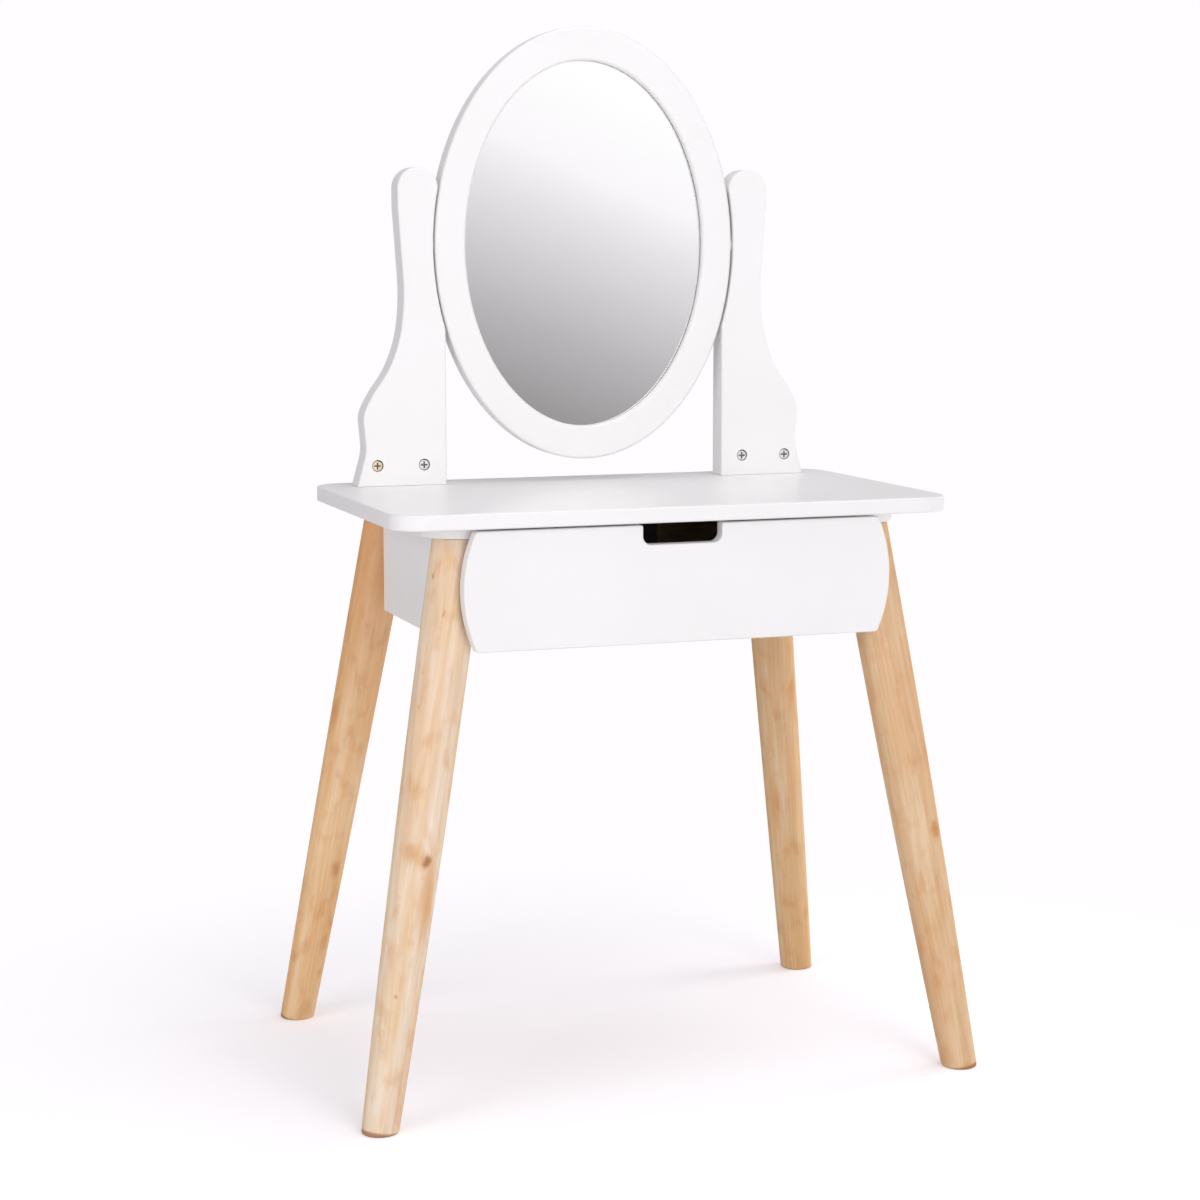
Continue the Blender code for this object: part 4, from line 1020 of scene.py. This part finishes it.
@dataclass
class Legs:
    """The four turned legs, each a cone with a slight belly on a slanted line, cut level at both ends.

    A pair's ends are how far back its tops are, and how far out and back its feet are.
    """

    top_radius: dict[Row, float] = field(default_factory=lambda: {Row.FRONT: 0.0265, Row.REAR: 0.0258})
    foot_radius: float = 0.01877
    foot_easing: float = 0.003
    top_easing: float = 0.0006
    top_x: float = 0.220
    top_z: float = 0.5874
    ends: dict[Row, Triple] = field(default_factory=lambda: {
        Row.FRONT: (-0.155049, 0.321, -0.206049), Row.REAR: (0.112097, 0.311, 0.206097)})
    belly: dict[Row, float] = field(default_factory=lambda: {Row.FRONT: 0.0021, Row.REAR: 0.0007})
    # share of painted contact shade on each foot's eased rim
    foot_stain: float = 0.8
    columns: int = 96
    stations: int = 40
    rim_steps: int = 6
    # Each leg's tones are partly the wood's own and partly painted light and shade, lighter or darker for how
    # the lamps fall on that leg
    looks: dict[Place, LegLook] = field(default_factory=lambda: {
        FRONT_LEFT: LegLook(0.4, dict(pale="F6E4D2", warm="E6C69E", blush="EECDAE"), (
            Knot((-0.270, -0.205, 0.271), 0.0040, 0.80, 1.3, 0.6),
            Knot((-0.286, -0.201, 0.282), 0.0050, 0.10, 1.0, 0.55),
            Knot((-0.271, -0.207, 0.236), 0.0050, 0.0, 4.0, 0.55),
            Knot((-0.251, -0.169, 0.552), 0.0015, 0.55, 2.0),
            Knot((-0.245, -0.185, 0.515), 0.0014, 0.25, 1.8),
            Knot((-0.264, -0.179, 0.459), 0.0012, 0.5, 2.2),
            Knot((-0.270, -0.182, 0.423), 0.0013, 0.2, 1.6),
            Knot((-0.306, -0.214, 0.140), 0.0013, 0.45, 1.4))),
        FRONT_RIGHT: LegLook(
            2.1, dict(pale="E7CAA8", warm="D8AC7D", late="BA834F", blush="DFB389", stain="CE8B51"), (
                Knot((0.288, -0.203, 0.261), 0.0042, 0.15, 1.3, 0.8),
                Knot((0.272, -0.209, 0.205), 0.0018, 0.0, 5.0, 0.4))),
        REAR_LEFT: LegLook(
            3.4, dict(pale="FADAB2", warm="F0BE86", late="D09254", blush="F4C48E", stain="D0864A", top_shade=0.5),
            (Knot((-0.275, 0.156, 0.179), 0.0036, 0.2, 1.6, 0.5),)),
        REAR_RIGHT: LegLook(
            5.2, dict(pale="E9CDA9", warm="E0B27E", late="C28950", blush="E3B888", stain="CF8B50", top_shade=0.2),
            (Knot((0.262, 0.153, 0.222), 0.0020, 0.0, 4.0, 0.4),))})

    def line(self, row: Row, side: Side) -> tuple[Vector, Vector]:
        """The middle of a leg's foot and top."""
        top_y, foot_x, foot_y = self.ends[row]
        return Vector((side.value * foot_x, foot_y, 0)), Vector((side.value * self.top_x, top_y, self.top_z))

    def shell(self, foot: Vector, top: Vector, top_radius: float, belly: float) -> Shell:
        """Rings of a slanted cone, each laid level.

        With s the share of the way up, the ring's middle is foot + s (top - foot) and its radius r runs
        evenly from foot to top, plus belly 4 s (1 - s) and less an easing at the ends. Each spoke
        r (cos t across + sin t deep) slides along the leg until it is level: spoke - axis (spoke.z / axis.z).

        Args:
            foot: middle of the foot.
            top: middle of the top.
            top_radius: radius at the top.
            belly: how much the leg swells halfway up.

        Returns:
            The leg's shell.
        """
        across, deep, axis = frame_axes(top - foot)
        length = (top - foot).length
        foot_inset, foot_rise, _ = quarter_round(self.foot_easing, self.rim_steps)
        top_inset, top_rise, _ = quarter_round(self.top_easing, self.rim_steps)
        plain = np.linspace(0, 1, self.stations)[1:-1]
        share = np.concatenate([foot_rise / length, plain, 1 - top_rise[::-1] / length])
        inset = np.concatenate([foot_inset, np.zeros(len(plain)), top_inset[::-1]])
        climb = np.where(share * length > self.foot_easing, share, 0)
        radius = self.foot_radius + (top_radius - self.foot_radius) * climb + 4 * belly * climb * (1 - climb)
        middle = np.array(foot) + share[:, None, None] * (np.array(top) - np.array(foot))
        angle = np.linspace(0, 2 * np.pi, self.columns, endpoint=False)[None, :, None]
        spoke = (radius - inset)[:, None, None] * (np.cos(angle) * across + np.sin(angle) * deep)
        return Shell().add(middle + spoke - axis * (spoke[..., 2:] / axis[2]))

    def build(self, finishes: Finishes) -> None:
        """Builds the legs, each in its own wood, and finishes their bolts and nuts.

        Args:
            finishes: the shared finishes.
        """
        for (row, side), look in self.looks.items():
            name = f"{row.value}_{side.word}"
            foot, top = self.line(row, side)
            wood = TurnedWood("varnished_wood_leg_" + name, Slot.WOOD, foot[:], top[:], turn=look.turn,
                              knots=look.knots, rim=self.foot_stain, **look.tones).coat()
            shell = self.shell(foot, top, self.top_radius[row], self.belly[row])
            shell.piece("leg_" + name, wood, Body.TABLE)
            dress(finishes.zinc, "leg_bolt_" + name, "leg_nut_" + name)


@dataclass
class Case:
    """The case that the drawer slides in, its runners and its stop."""

    easing: float = 0.0008
    corner_softness: float = 0.0014
    back_easing: float = 0.0006
    screw: CrossScrew = CrossScrew(shank=0.0017, head=0.0020, countersunk=True)

    def build(self, finishes: Finishes) -> None:
        """Builds the case's boards and screws, and finishes its runners and stop.

        Args:
            finishes: the shared finishes.
        """
        for side in Side:
            node = "case_side_" + side.word
            box = Box.of(node)
            outline = soften(rectangle(box.low.yz, box.high.yz), self.corner_softness)
            board = plate(outline, box.low.x, box.high.x, self.easing, Axis.X)
            board.piece(node, finishes.lacquer, Body.TABLE)
            dress(finishes.pine_along, "drawer_runner_" + side.word)
            for row in Row:
                node = f"runner_screw_{side.word}_{row.value}"
                self.screw.build(node, Vector((side.value, 0, 0)), finishes.zinc, Body.TABLE)
        box = Box.of("case_back")
        board = plate(rectangle(box.low.xz, box.high.xz), box.low.y, box.high.y, self.back_easing, Axis.Y)
        board.piece("case_back", finishes.lacquer, Body.TABLE)
        # The stop is near black: painted shade behind the finger slot
        dress(finishes.pine_slot_shade, "drawer_stop")
        self.screw.build("stop_screw", Vector((0, 0, 1)), finishes.zinc, Body.TABLE)


@dataclass
class Drawer:
    """The drawer: a painted front with bulging ends and a finger slot, and the box behind it."""

    bulge: float = 0.0135
    slot_half: float = 0.0425
    slot_depth: float = 0.020
    slot_corner: float = 0.009
    easing: float = 0.0015
    corner_softness: float = 0.0024
    end_steps: int = 48
    slot_steps: int = 16
    screw: CrossScrew = CrossScrew(shank=0.0019, head=0.0024, countersunk=False)

    def front_outline(self, box: Box) -> Array:
        """The front's outline: level top and bottom, ends that are arcs, and a slot with round corners.

        An end is the arc through its top and bottom corners that bulges by b: with half height h its radius
        is (h^2 + b^2) / 2b.

        Args:
            box: where the front lies.

        Returns:
            The outline, anticlockwise, its corners softened.
        """
        half = box.size.z / 2
        radius = (half ** 2 + self.bulge ** 2) / (2 * self.bulge)
        sweep = math.degrees(math.asin(half / radius))
        middle = box.high.x - radius
        inner = self.slot_half - self.slot_corner
        floor = box.high.z - self.slot_depth + self.slot_corner
        right = arc((middle, box.middle.z), radius, -sweep, sweep, self.end_steps)
        slot = np.concatenate([
            [(self.slot_half, box.high.z)], arc((inner, floor), self.slot_corner, 0, -90, self.slot_steps),
            arc((-inner, floor), self.slot_corner, 270, 180, self.slot_steps),
            [(-self.slot_half, box.high.z)]])
        left = arc((-middle, box.middle.z), radius, 180 - sweep, 180 + sweep, self.end_steps)
        return soften(np.concatenate([right, slot, left]), self.corner_softness)

    def build(self, finishes: Finishes) -> None:
        """Builds the front and the screws that hold it, and finishes the box.

        Args:
            finishes: the shared finishes.
        """
        box = Box.of("drawer_front")
        board = plate(self.front_outline(box), box.low.y, box.high.y, self.easing, Axis.Y)
        board.piece("drawer_front", finishes.lacquer, Body.DRAWER)
        dress(finishes.pine_along, "drawer_side_left", "drawer_side_right")
        dress(finishes.pine_across, "drawer_inner_front", "drawer_back", "drawer_bottom")
        for side in Side:
            self.screw.build("front_screw_" + side.word, Vector((0, -1, 0)), finishes.zinc, Body.DRAWER)


@dataclass
class Posts:
    """The two posts that hold the mirror, with their cams and bushes.

    The outer edge's knots are shares of the base's width and of the height.
    """

    base_width: float = 0.100
    head_radius: float = 0.0225
    easing: float = 0.002
    mirror_gap: float = 0.002
    edge: tuple[Pair, ...] = (
        (1.000, 0.000), (0.950, 0.053), (0.903, 0.112), (0.918, 0.180), (0.918, 0.228), (0.820, 0.288),
        (0.632, 0.372), (0.508, 0.475), (0.466, 0.600), (0.492, 0.745), (0.522, 0.870))
    knot_steps: int = 12
    head_steps: int = 48
    inner_steps: int = 96
    cam_rim: float = 0.0008
    cam_gap: float = 0.0003
    cam_play: float = 0.0004
    cross_arm_share: float = 0.66
    cross_width_share: float = 0.16
    cross_depth: float = 0.0022
    bush_bore: float = 0.0041
    bush_wall: float = 0.0061
    bush_flange: float = 0.0012
    bush_easing: float = 0.0003

    def outline(self) -> Array:
        """A post's outline on the right side of the table.

        The outer edge is a spline through its knots. A half circle makes the head. The inner edge follows
        the mirror's oval, one gap outside it.

        Returns:
            The outline, anticlockwise.
        """
        post, frame = Box.of("mirror_post_right"), Box.of("mirror_frame")
        pivot = frame.middle.z
        wide = frame.high.x + self.mirror_gap
        tall = frame.high.z - pivot + self.mirror_gap
        knots = np.array(self.edge) * (self.base_width, post.size.z) + (post.low.x, post.low.z)
        head_z = post.high.z - self.head_radius
        start = math.asin((head_z - pivot) / tall)
        end = -math.acos(post.low.x / wide)
        head = arc((wide * math.cos(start) + self.head_radius, head_z), self.head_radius, 0, 180,
                   self.head_steps)
        t = np.linspace(start, end, self.inner_steps + 1)[1:]
        inner = np.stack([wide * np.cos(t), pivot + tall * np.sin(t)], axis=1)
        return np.concatenate([spline(knots, self.knot_steps), head, inner, [(post.low.x, post.low.z)]])

    def build(self, finishes: Finishes) -> None:
        """Builds the posts, cams and bushes, and finishes the bolts that the cams hold.

        Args:
            finishes: the shared finishes.
        """
        outline = self.outline()
        for side in Side:
            node = "mirror_post_" + side.word
            box = Box.of(node)
            own = outline if side is Side.RIGHT else (outline * (-1, 1))[::-1]
            cams = [f"{side.word}_{place}" for place in ("inner", "outer")]
            holes = sorted((self.hole(cam, box.low.y) for cam in cams), key=lambda hole: hole.u)
            board = plate(own, box.low.y, box.high.y, self.easing, Axis.Y, stands=True, holes=holes)
            board.piece(node, finishes.lacquer, Body.TABLE)
            for cam in cams:
                self.cam(cam, finishes.yellow if cam == "left_outer" else finishes.silver)
                dress(finishes.zinc, "cam_bolt_" + cam)
            self.bush("pivot_bush_" + side.word, side, finishes.nylon)

    def hole(self, name: str, face: float) -> Hole:
        """The hole that a cam sits in, from the level of the post's front."""
        box, gap = Box.of("cam_" + name), self.cam_gap
        return Hole(box.middle.x, box.middle.z, box.size.z / 2 + gap, box.high.y - face + gap)

    def cam(self, name: str, coat: Coat) -> None:
        """Builds a cam where its node is, a little slack in its hole and resting against its lower left.

        Args:
            name: the cam's place.
            coat: its metal.
        """
        box = Box.of("cam_" + name)
        radius = box.size.z / 2 - self.cam_play
        start = Vector((box.middle.x - self.cam_play / 2, box.low.y, box.middle.z - self.cam_play / 2))
        step = self.cam_rim / 3
        profile = [(radius - self.cam_rim, 0.0), (radius - 2 * step, step * 0.5),
                   (radius - step * 0.5, 2 * step), (radius, self.cam_rim), (radius, box.size.y)]
        arm, width = radius * self.cross_arm_share, radius * self.cross_width_share
        shell = cross_headed(profile, start, Vector((0, 1, 0)), arm, width, self.cross_depth)
        shell.piece("cam_" + name, coat, Body.TABLE)

    def bush(self, node: str, side: Side, coat: Coat) -> None:
        """Builds a flanged bush where its node is.

        Args:
            node: the bush's node.
            side: the side of the table it is on.
            coat: its plastic.
        """
        box = Box.of(node)
        start = Vector((box.low.x if side is Side.RIGHT else box.high.x, box.middle.y, box.middle.z))
        edge, flange, length = self.bush_easing, box.size.z / 2, box.size.x
        profile = [(self.bush_bore, edge), (self.bush_bore + edge, 0.0), (flange - edge, 0.0), (flange, edge),
                   (flange, self.bush_flange), (self.bush_wall, self.bush_flange), (self.bush_wall, length),
                   (self.bush_bore, length)]
        turned(profile, start, Vector((side.value, 0, 0)), hollow=True).piece(node, coat, Body.TABLE)


@dataclass
class Mirror:
    """The oval mirror: a rebated frame, the glass, its backing and screws, and the pins that it turns on.

    The rebate is a section: points out from the opening's oval, and how far they lie behind the glass's seat.
    A narrow groove in it parts the lip from the glass.
    """

    half_width: float = 0.172
    half_height: float = 0.235
    opening_half_width: float = 0.1375
    opening_half_height: float = 0.1985
    rebate: tuple[Pair, ...] = ((0.0, -0.0014), (0.002975, -0.00126), (0.0035, 0.0), (0.0125, 0.0))
    seat_gap: float = 0.0003
    easing: float = 0.003
    glass_easing: float = 0.0004
    backing_easing: float = 0.0003
    pin_chamfer: float = 0.001
    steps: int = 240
    frame_rim_steps: int = 7
    pane_rim_steps: int = 3
    screw: CrossScrew = CrossScrew(shank=0.0013, head=0.0014, countersunk=False)

    def frame_shell(self) -> Shell:
        """The frame: a closed section carried round two ovals.

        Each point of the section is an offset along the normals of the outer or of the inner oval, and a
        depth. The rims are quarter rounds.

        Returns:
            The frame's shell.
        """
        box = Box.of("mirror_frame")
        outer, outer_out = oval(box.middle.xz, self.half_width, self.half_height, self.steps)
        inner, inner_out = oval(box.middle.xz, self.opening_half_width, self.opening_half_height, self.steps)
        inset, rise, rim = quarter_round(self.easing, self.frame_rim_steps)
        out, behind = np.array(self.rebate).T
        seat = Box.of("mirror_glass").low.y - self.seat_gap
        on_outer = np.concatenate([inset, inset[::-1]])
        on_inner = np.concatenate([inset, out, out[-1:]])
        levels = np.concatenate([box.high.y - rise, box.low.y + rise[::-1], box.low.y + rise, seat + behind,
                                 [box.high.y]])
        flat = np.concatenate([outer[None] - outer_out[None] * on_outer[:, None, None],
                               inner[None] + inner_out[None] * on_inner[:, None, None]])
        rims = np.concatenate([np.tile(rim, 3), np.zeros(len(out) + 1)])
        return Shell().add(lift(flat, levels, Axis.Y), rim=rims, ring=True)

    def build(self, finishes: Finishes) -> None:
        """Builds the mirror's pieces.

        Args:
            finishes: the shared finishes.
        """
        self.frame_shell().piece("mirror_frame", finishes.lacquer, Body.MIRROR)
        for node, easing, coat in (("mirror_glass", self.glass_easing, finishes.glass),
                                   ("mirror_backing", self.backing_easing, finishes.hardboard)):
            box = Box.of(node)
            outline, _ = oval(box.middle.xz, box.size.x / 2, box.size.z / 2, self.steps)
            pane = plate(outline, box.low.y, box.high.y, easing, Axis.Y, steps=self.pane_rim_steps)
            pane.piece(node, coat, Body.MIRROR)
        for place in ("top", "bottom", "left", "right"):
            self.screw.build("backing_screw_" + place, Vector((0, -1, 0)), finishes.zinc, Body.MIRROR)
        for side in Side:
            self.pin("pivot_pin_" + side.word, finishes.zinc)

    def pin(self, node: str, coat: Coat) -> None:
        """Builds a pin with chamfered ends where its node is.

        Args:
            node: the pin's node.
            coat: its metal.
        """
        box = Box.of(node)
        radius, length, tip = box.size.z / 2, box.size.x, self.pin_chamfer
        profile = [(radius - tip, 0.0), (radius, tip), (radius, length - tip), (radius - tip, length)]
        start = Vector((box.low.x, box.middle.y, box.middle.z))
        turned(profile, start, Vector((1, 0, 0))).piece(node, coat, Body.MIRROR)


@dataclass(frozen=True)
class Lamp:
    """A soft box: where it hangs, its watts, its width and height, what it faces, and whether glossy
    surfaces show it."""

    name: str
    place: Triple
    power: float
    size: Pair
    target: Triple = (0.0, 0.0, 0.6)
    mirrored: bool = False

    def build(self) -> None:
        """Hangs the lamp."""
        data = bpy.data.lights.new(self.name, "AREA")
        data.shape = "RECTANGLE"
        data.size, data.size_y = self.size
        data.energy = self.power
        item = bpy.data.objects.new(self.name, data)
        item.location = self.place
        item.rotation_euler = (Vector(self.target) - Vector(self.place)).to_track_quat("-Z", "Y").to_euler()
        item.visible_glossy = self.mirrored
        bpy.context.scene.collection.objects.link(item)


@dataclass
class Studio:
    """A pale floor, a white backdrop, soft lamps and the camera.

    The floor keeps the table's shadow near it, and turns white between two distances from its middle. The
    panel in front of the table is seen in reflections alone. Its shades go by height, from foot to head, at
    levels that slant a little.
    """

    camera_place: Triple = (-0.9476, -2.63845, 0.8833)
    yaw: float = 19.443
    pitch: float = -7.922
    lens: float = 78.33
    white: str = "FFFDFF"
    daylight: str = "F7F6F8"
    ambient: float = 0.38
    reflected: str = "B2B1B3"
    floor_span: float = 9.0
    floor_paint: str = "F2F2F4"
    floor_light: float = 0.77
    shadow_share: float = 0.75
    shadow_tint: Triple = (0.985, 0.985, 1.025)
    fade_middle: Triple = (0.0, -0.12, 0.0)
    fade: Pair = (0.42, 1.0)
    panel_corners: tuple[Triple, ...] = (
        (-3.0, -3.5, 0.0), (4.5, -3.5, 0.0), (4.5, -3.5, 2.6), (-3.0, -3.5, 2.6))
    panel_light: float = 1.05
    slant: float = 0.40
    slant_from: float = 1.246
    shade_height: float = 1.30
    shades: tuple[tuple[float, str], ...] = (
        (0.0, "FFFFFF"), (0.15, "FFFFFF"), (0.24, "9B989A"), (0.31, "9B989A"), (0.46, "B6B4B6"),
        (0.598, "D1CFD1"), (0.709, "E6E3E6"), (0.806, "F9F6F9"), (1.0, "FFFFFF"))
    lamps: tuple[Lamp, ...] = (
        Lamp("key", (0.3, -3.2, 2.7), 27, (1.8, 1.8), mirrored=True),
        Lamp("front", (0.2, -3.3, 0.9), 20, (1.6, 1.2)),
        Lamp("fill", (-2.8, -1.4, 1.2), 26, (1.8, 1.8)),
        Lamp("top", (0.5, -0.3, 3.0), 27, (2.0, 2.0), mirrored=True),
        Lamp("side", (1.75, 0.15, 0.33), 10.0, (0.6, 0.5), target=(0.26, 0.0, 0.31)))

    def camera(self) -> None:
        """Sets up the camera at the photograph's angle."""
        data = bpy.data.cameras.new("camera")
        data.lens = self.lens
        data.sensor_width = 36
        item = bpy.data.objects.new("camera", data)
        item.location = self.camera_place
        item.rotation_euler = (math.pi / 2 + math.radians(self.pitch), 0, -math.radians(self.yaw))
        bpy.context.scene.collection.objects.link(item)
        bpy.context.scene.camera = item

    def world(self) -> None:
        """A pale world that is white to the camera and lights the table evenly."""
        world = bpy.data.worlds.new("studio")
        world.use_nodes = True
        bpy.context.scene.world = world
        tree = world.node_tree
        tree.nodes.clear()
        rays = add_node(tree, "LightPath", output=None).outputs
        light, shine, white = (
            add_node(tree, "Background", {"Color": linear(colour), "Strength": strength})
            for colour, strength in ((self.daylight, self.ambient), (self.reflected, 1.0), (self.white, 1.0)))
        unseen = add_node(tree, "MixShader", [rays["Is Glossy Ray"], light, shine])
        both = add_node(tree, "MixShader", [rays["Is Camera Ray"], unseen, white])
        add_node(tree, "OutputWorld", {"Surface": both}, None)

    def sheet(self, name: str, corners: tuple[Triple, ...]) -> tuple[bpy.types.Object, Tree]:
        """Adds one flat sheet of the studio.

        Args:
            name: its name.
            corners: its four corners.

        Returns:
            The sheet and its material's tree, which is empty.
        """
        mesh = bpy.data.meshes.new(name)
        mesh.from_pydata(corners, [], [(0, 1, 2, 3)])
        item = bpy.data.objects.new(name, mesh)
        bpy.context.scene.collection.objects.link(item)
        material = bpy.data.materials.new("studio_" + name)
        material.use_nodes = True
        material.node_tree.nodes.clear()
        mesh.materials.append(material)
        return item, material.node_tree

    def floor(self) -> None:
        """A wide pale floor that keeps the table's shadow, and turns into the white background further out.

        To the camera it is a faint matt grey plus a glow: the grey under the floor's usual light makes up the
        shadow's share of the white.
        """
        far = self.floor_span
        _, tree = self.sheet("floor", ((-far, -far, 0), (far, -far, 0), (far, far, 0), (-far, far, 0)))
        place = add_node(tree, "TexCoord", output="Object")
        away = add_node(tree, "VectorMath", [place, self.fade_middle], "Value", operation="DISTANCE")
        fade = add_node(tree, "MapRange", [away, *self.fade, 0.0, 1.0], interpolation_type="SMOOTHSTEP")
        matt = add_node(tree, "BsdfDiffuse", {"Color": linear(self.floor_paint)})
        white, glow = (add_node(tree, "Emission", {"Color": linear(self.white), "Strength": strength})
                       for strength in (1.0, 1 - self.shadow_share))
        grey = np.array(linear(self.white)[:3]) * self.shadow_tint * self.shadow_share / self.floor_light
        faint = add_node(tree, "BsdfDiffuse", {"Color": (*grey.tolist(), 1.0)})
        near = add_node(tree, "AddShader", [faint, glow])
        seen = add_node(tree, "MixShader", [fade, near, white])
        camera_ray = add_node(tree, "LightPath", output="Is Camera Ray")
        both = add_node(tree, "MixShader", [camera_ray, matt, seen])
        add_node(tree, "OutputMaterial", {"Surface": both}, None)

    def panel(self) -> None:
        """The panel that the mirror shows: white above, shading to grey, and white at its foot."""
        item, tree = self.sheet("panel", self.panel_corners)
        place = add_node(tree, "TexCoord", output="Object")
        slanted = add_node(tree, "VectorMath", [place, (self.slant, 0.0, 1.0)], "Value",
                           operation="DOT_PRODUCT")
        level = add_node(tree, "Math", [slanted, self.slant * self.slant_from], operation="SUBTRACT")
        share = add_node(tree, "MapRange", [level, 0.0, self.shade_height, 0.0, 1.0])
        ramp = add_node(tree, "ValToRGB", [share], None)
        stops = ramp.color_ramp.elements
        stops[0].color, stops[1].color = linear(self.shades[0][1]), linear(self.shades[-1][1])
        for at, colour in self.shades[1:-1]:
            stops.new(at).color = linear(colour)
        glow = add_node(tree, "Emission", {"Color": ramp.outputs[0], "Strength": self.panel_light})
        add_node(tree, "OutputMaterial", {"Surface": glow}, None)
        item.visible_diffuse = item.visible_shadow = item.visible_camera = False

    def build(self) -> None:
        """Builds the studio."""
        bpy.context.scene.view_settings.view_transform = "Standard"
        self.camera()
        self.world()
        self.floor()
        self.panel()
        for lamp in self.lamps:
            lamp.build()


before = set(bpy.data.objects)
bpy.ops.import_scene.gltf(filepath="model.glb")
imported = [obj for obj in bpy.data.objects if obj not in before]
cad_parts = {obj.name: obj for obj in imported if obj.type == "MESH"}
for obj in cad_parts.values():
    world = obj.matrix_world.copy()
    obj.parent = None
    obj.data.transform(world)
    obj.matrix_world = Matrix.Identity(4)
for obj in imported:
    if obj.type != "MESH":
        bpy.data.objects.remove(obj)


def make_finishes() -> Finishes:
    """Makes up the shared finishes; painted shade darkens the cams' metals behind the level of the cams'
    faces.

    Returns:
        The finishes.
    """
    cast = dict(roughness=0.42, metal=0.6, face=Box.of("cam_left_inner").low.y)
    sawn = dict(late="C9A671", roughness=0.6, contrast=0.4, top_shade=0.0, spacing=0.0045, pith=(0.05, 0.09, 0.0))
    bare = dict(sawn, pale="E9D6B8", warm="DCC29B", blush="DDBB92", stain="D2B083")
    # near-black wood for the drawer stop: painted shade, so the finger slot looks dark all through
    dark = dict(sawn, pale="2A2522", warm="231F1C", late="171412", blush="261F1C", stain="1C1816")
    return Finishes(
        lacquer=SprayedLacquer("satin_white_lacquer_on_fibreboard", Slot.LACQUER).coat(),
        zinc=PlatedZinc("bright_zinc_plate", Slot.ZINC).coat(),
        silver=PlatedZinc("tumbled_die_cast_zinc", Slot.ZINC, **cast).coat(),
        yellow=PlatedZinc("yellow_passivated_die_cast_zinc", Slot.YELLOW, "F7E9CF", "EAD2A6", **cast).coat(),
        nylon=MouldedNylon("natural_nylon", Slot.NYLON).coat(),
        glass=SilveredGlass("silvered_float_glass", Slot.GLASS).coat(),
        hardboard=Hardboard("hardboard", Slot.HARDBOARD).coat(),
        pine_along=TurnedWood(
            "sanded_pine_along", Slot.BOX, (0.0, -0.2, 0.53), (0.0, 0.1, 0.53), **bare).coat(),
        pine_across=TurnedWood(
            "sanded_pine_across", Slot.BOX, (-0.2, 0.0, 0.53), (0.2, 0.0, 0.53), **bare).coat(),
        pine_slot_shade=TurnedWood(
            "black_pine_for_slot_shade", Slot.BOX, (-0.2, 0.0, 0.57), (0.2, 0.0, 0.57), **dark).coat())


def main() -> None:
    """Builds the table's looks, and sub-assembly by sub-assembly."""
    logging.basicConfig(level=logging.INFO, format="%(name)s: %(message)s")
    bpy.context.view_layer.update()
    finishes = make_finishes()
    for part in (Top(), Legs(), Case(), Drawer(), Posts(), Mirror()):
        part.build(finishes)
    Studio().build()


if __name__ == "__main__":
    main()
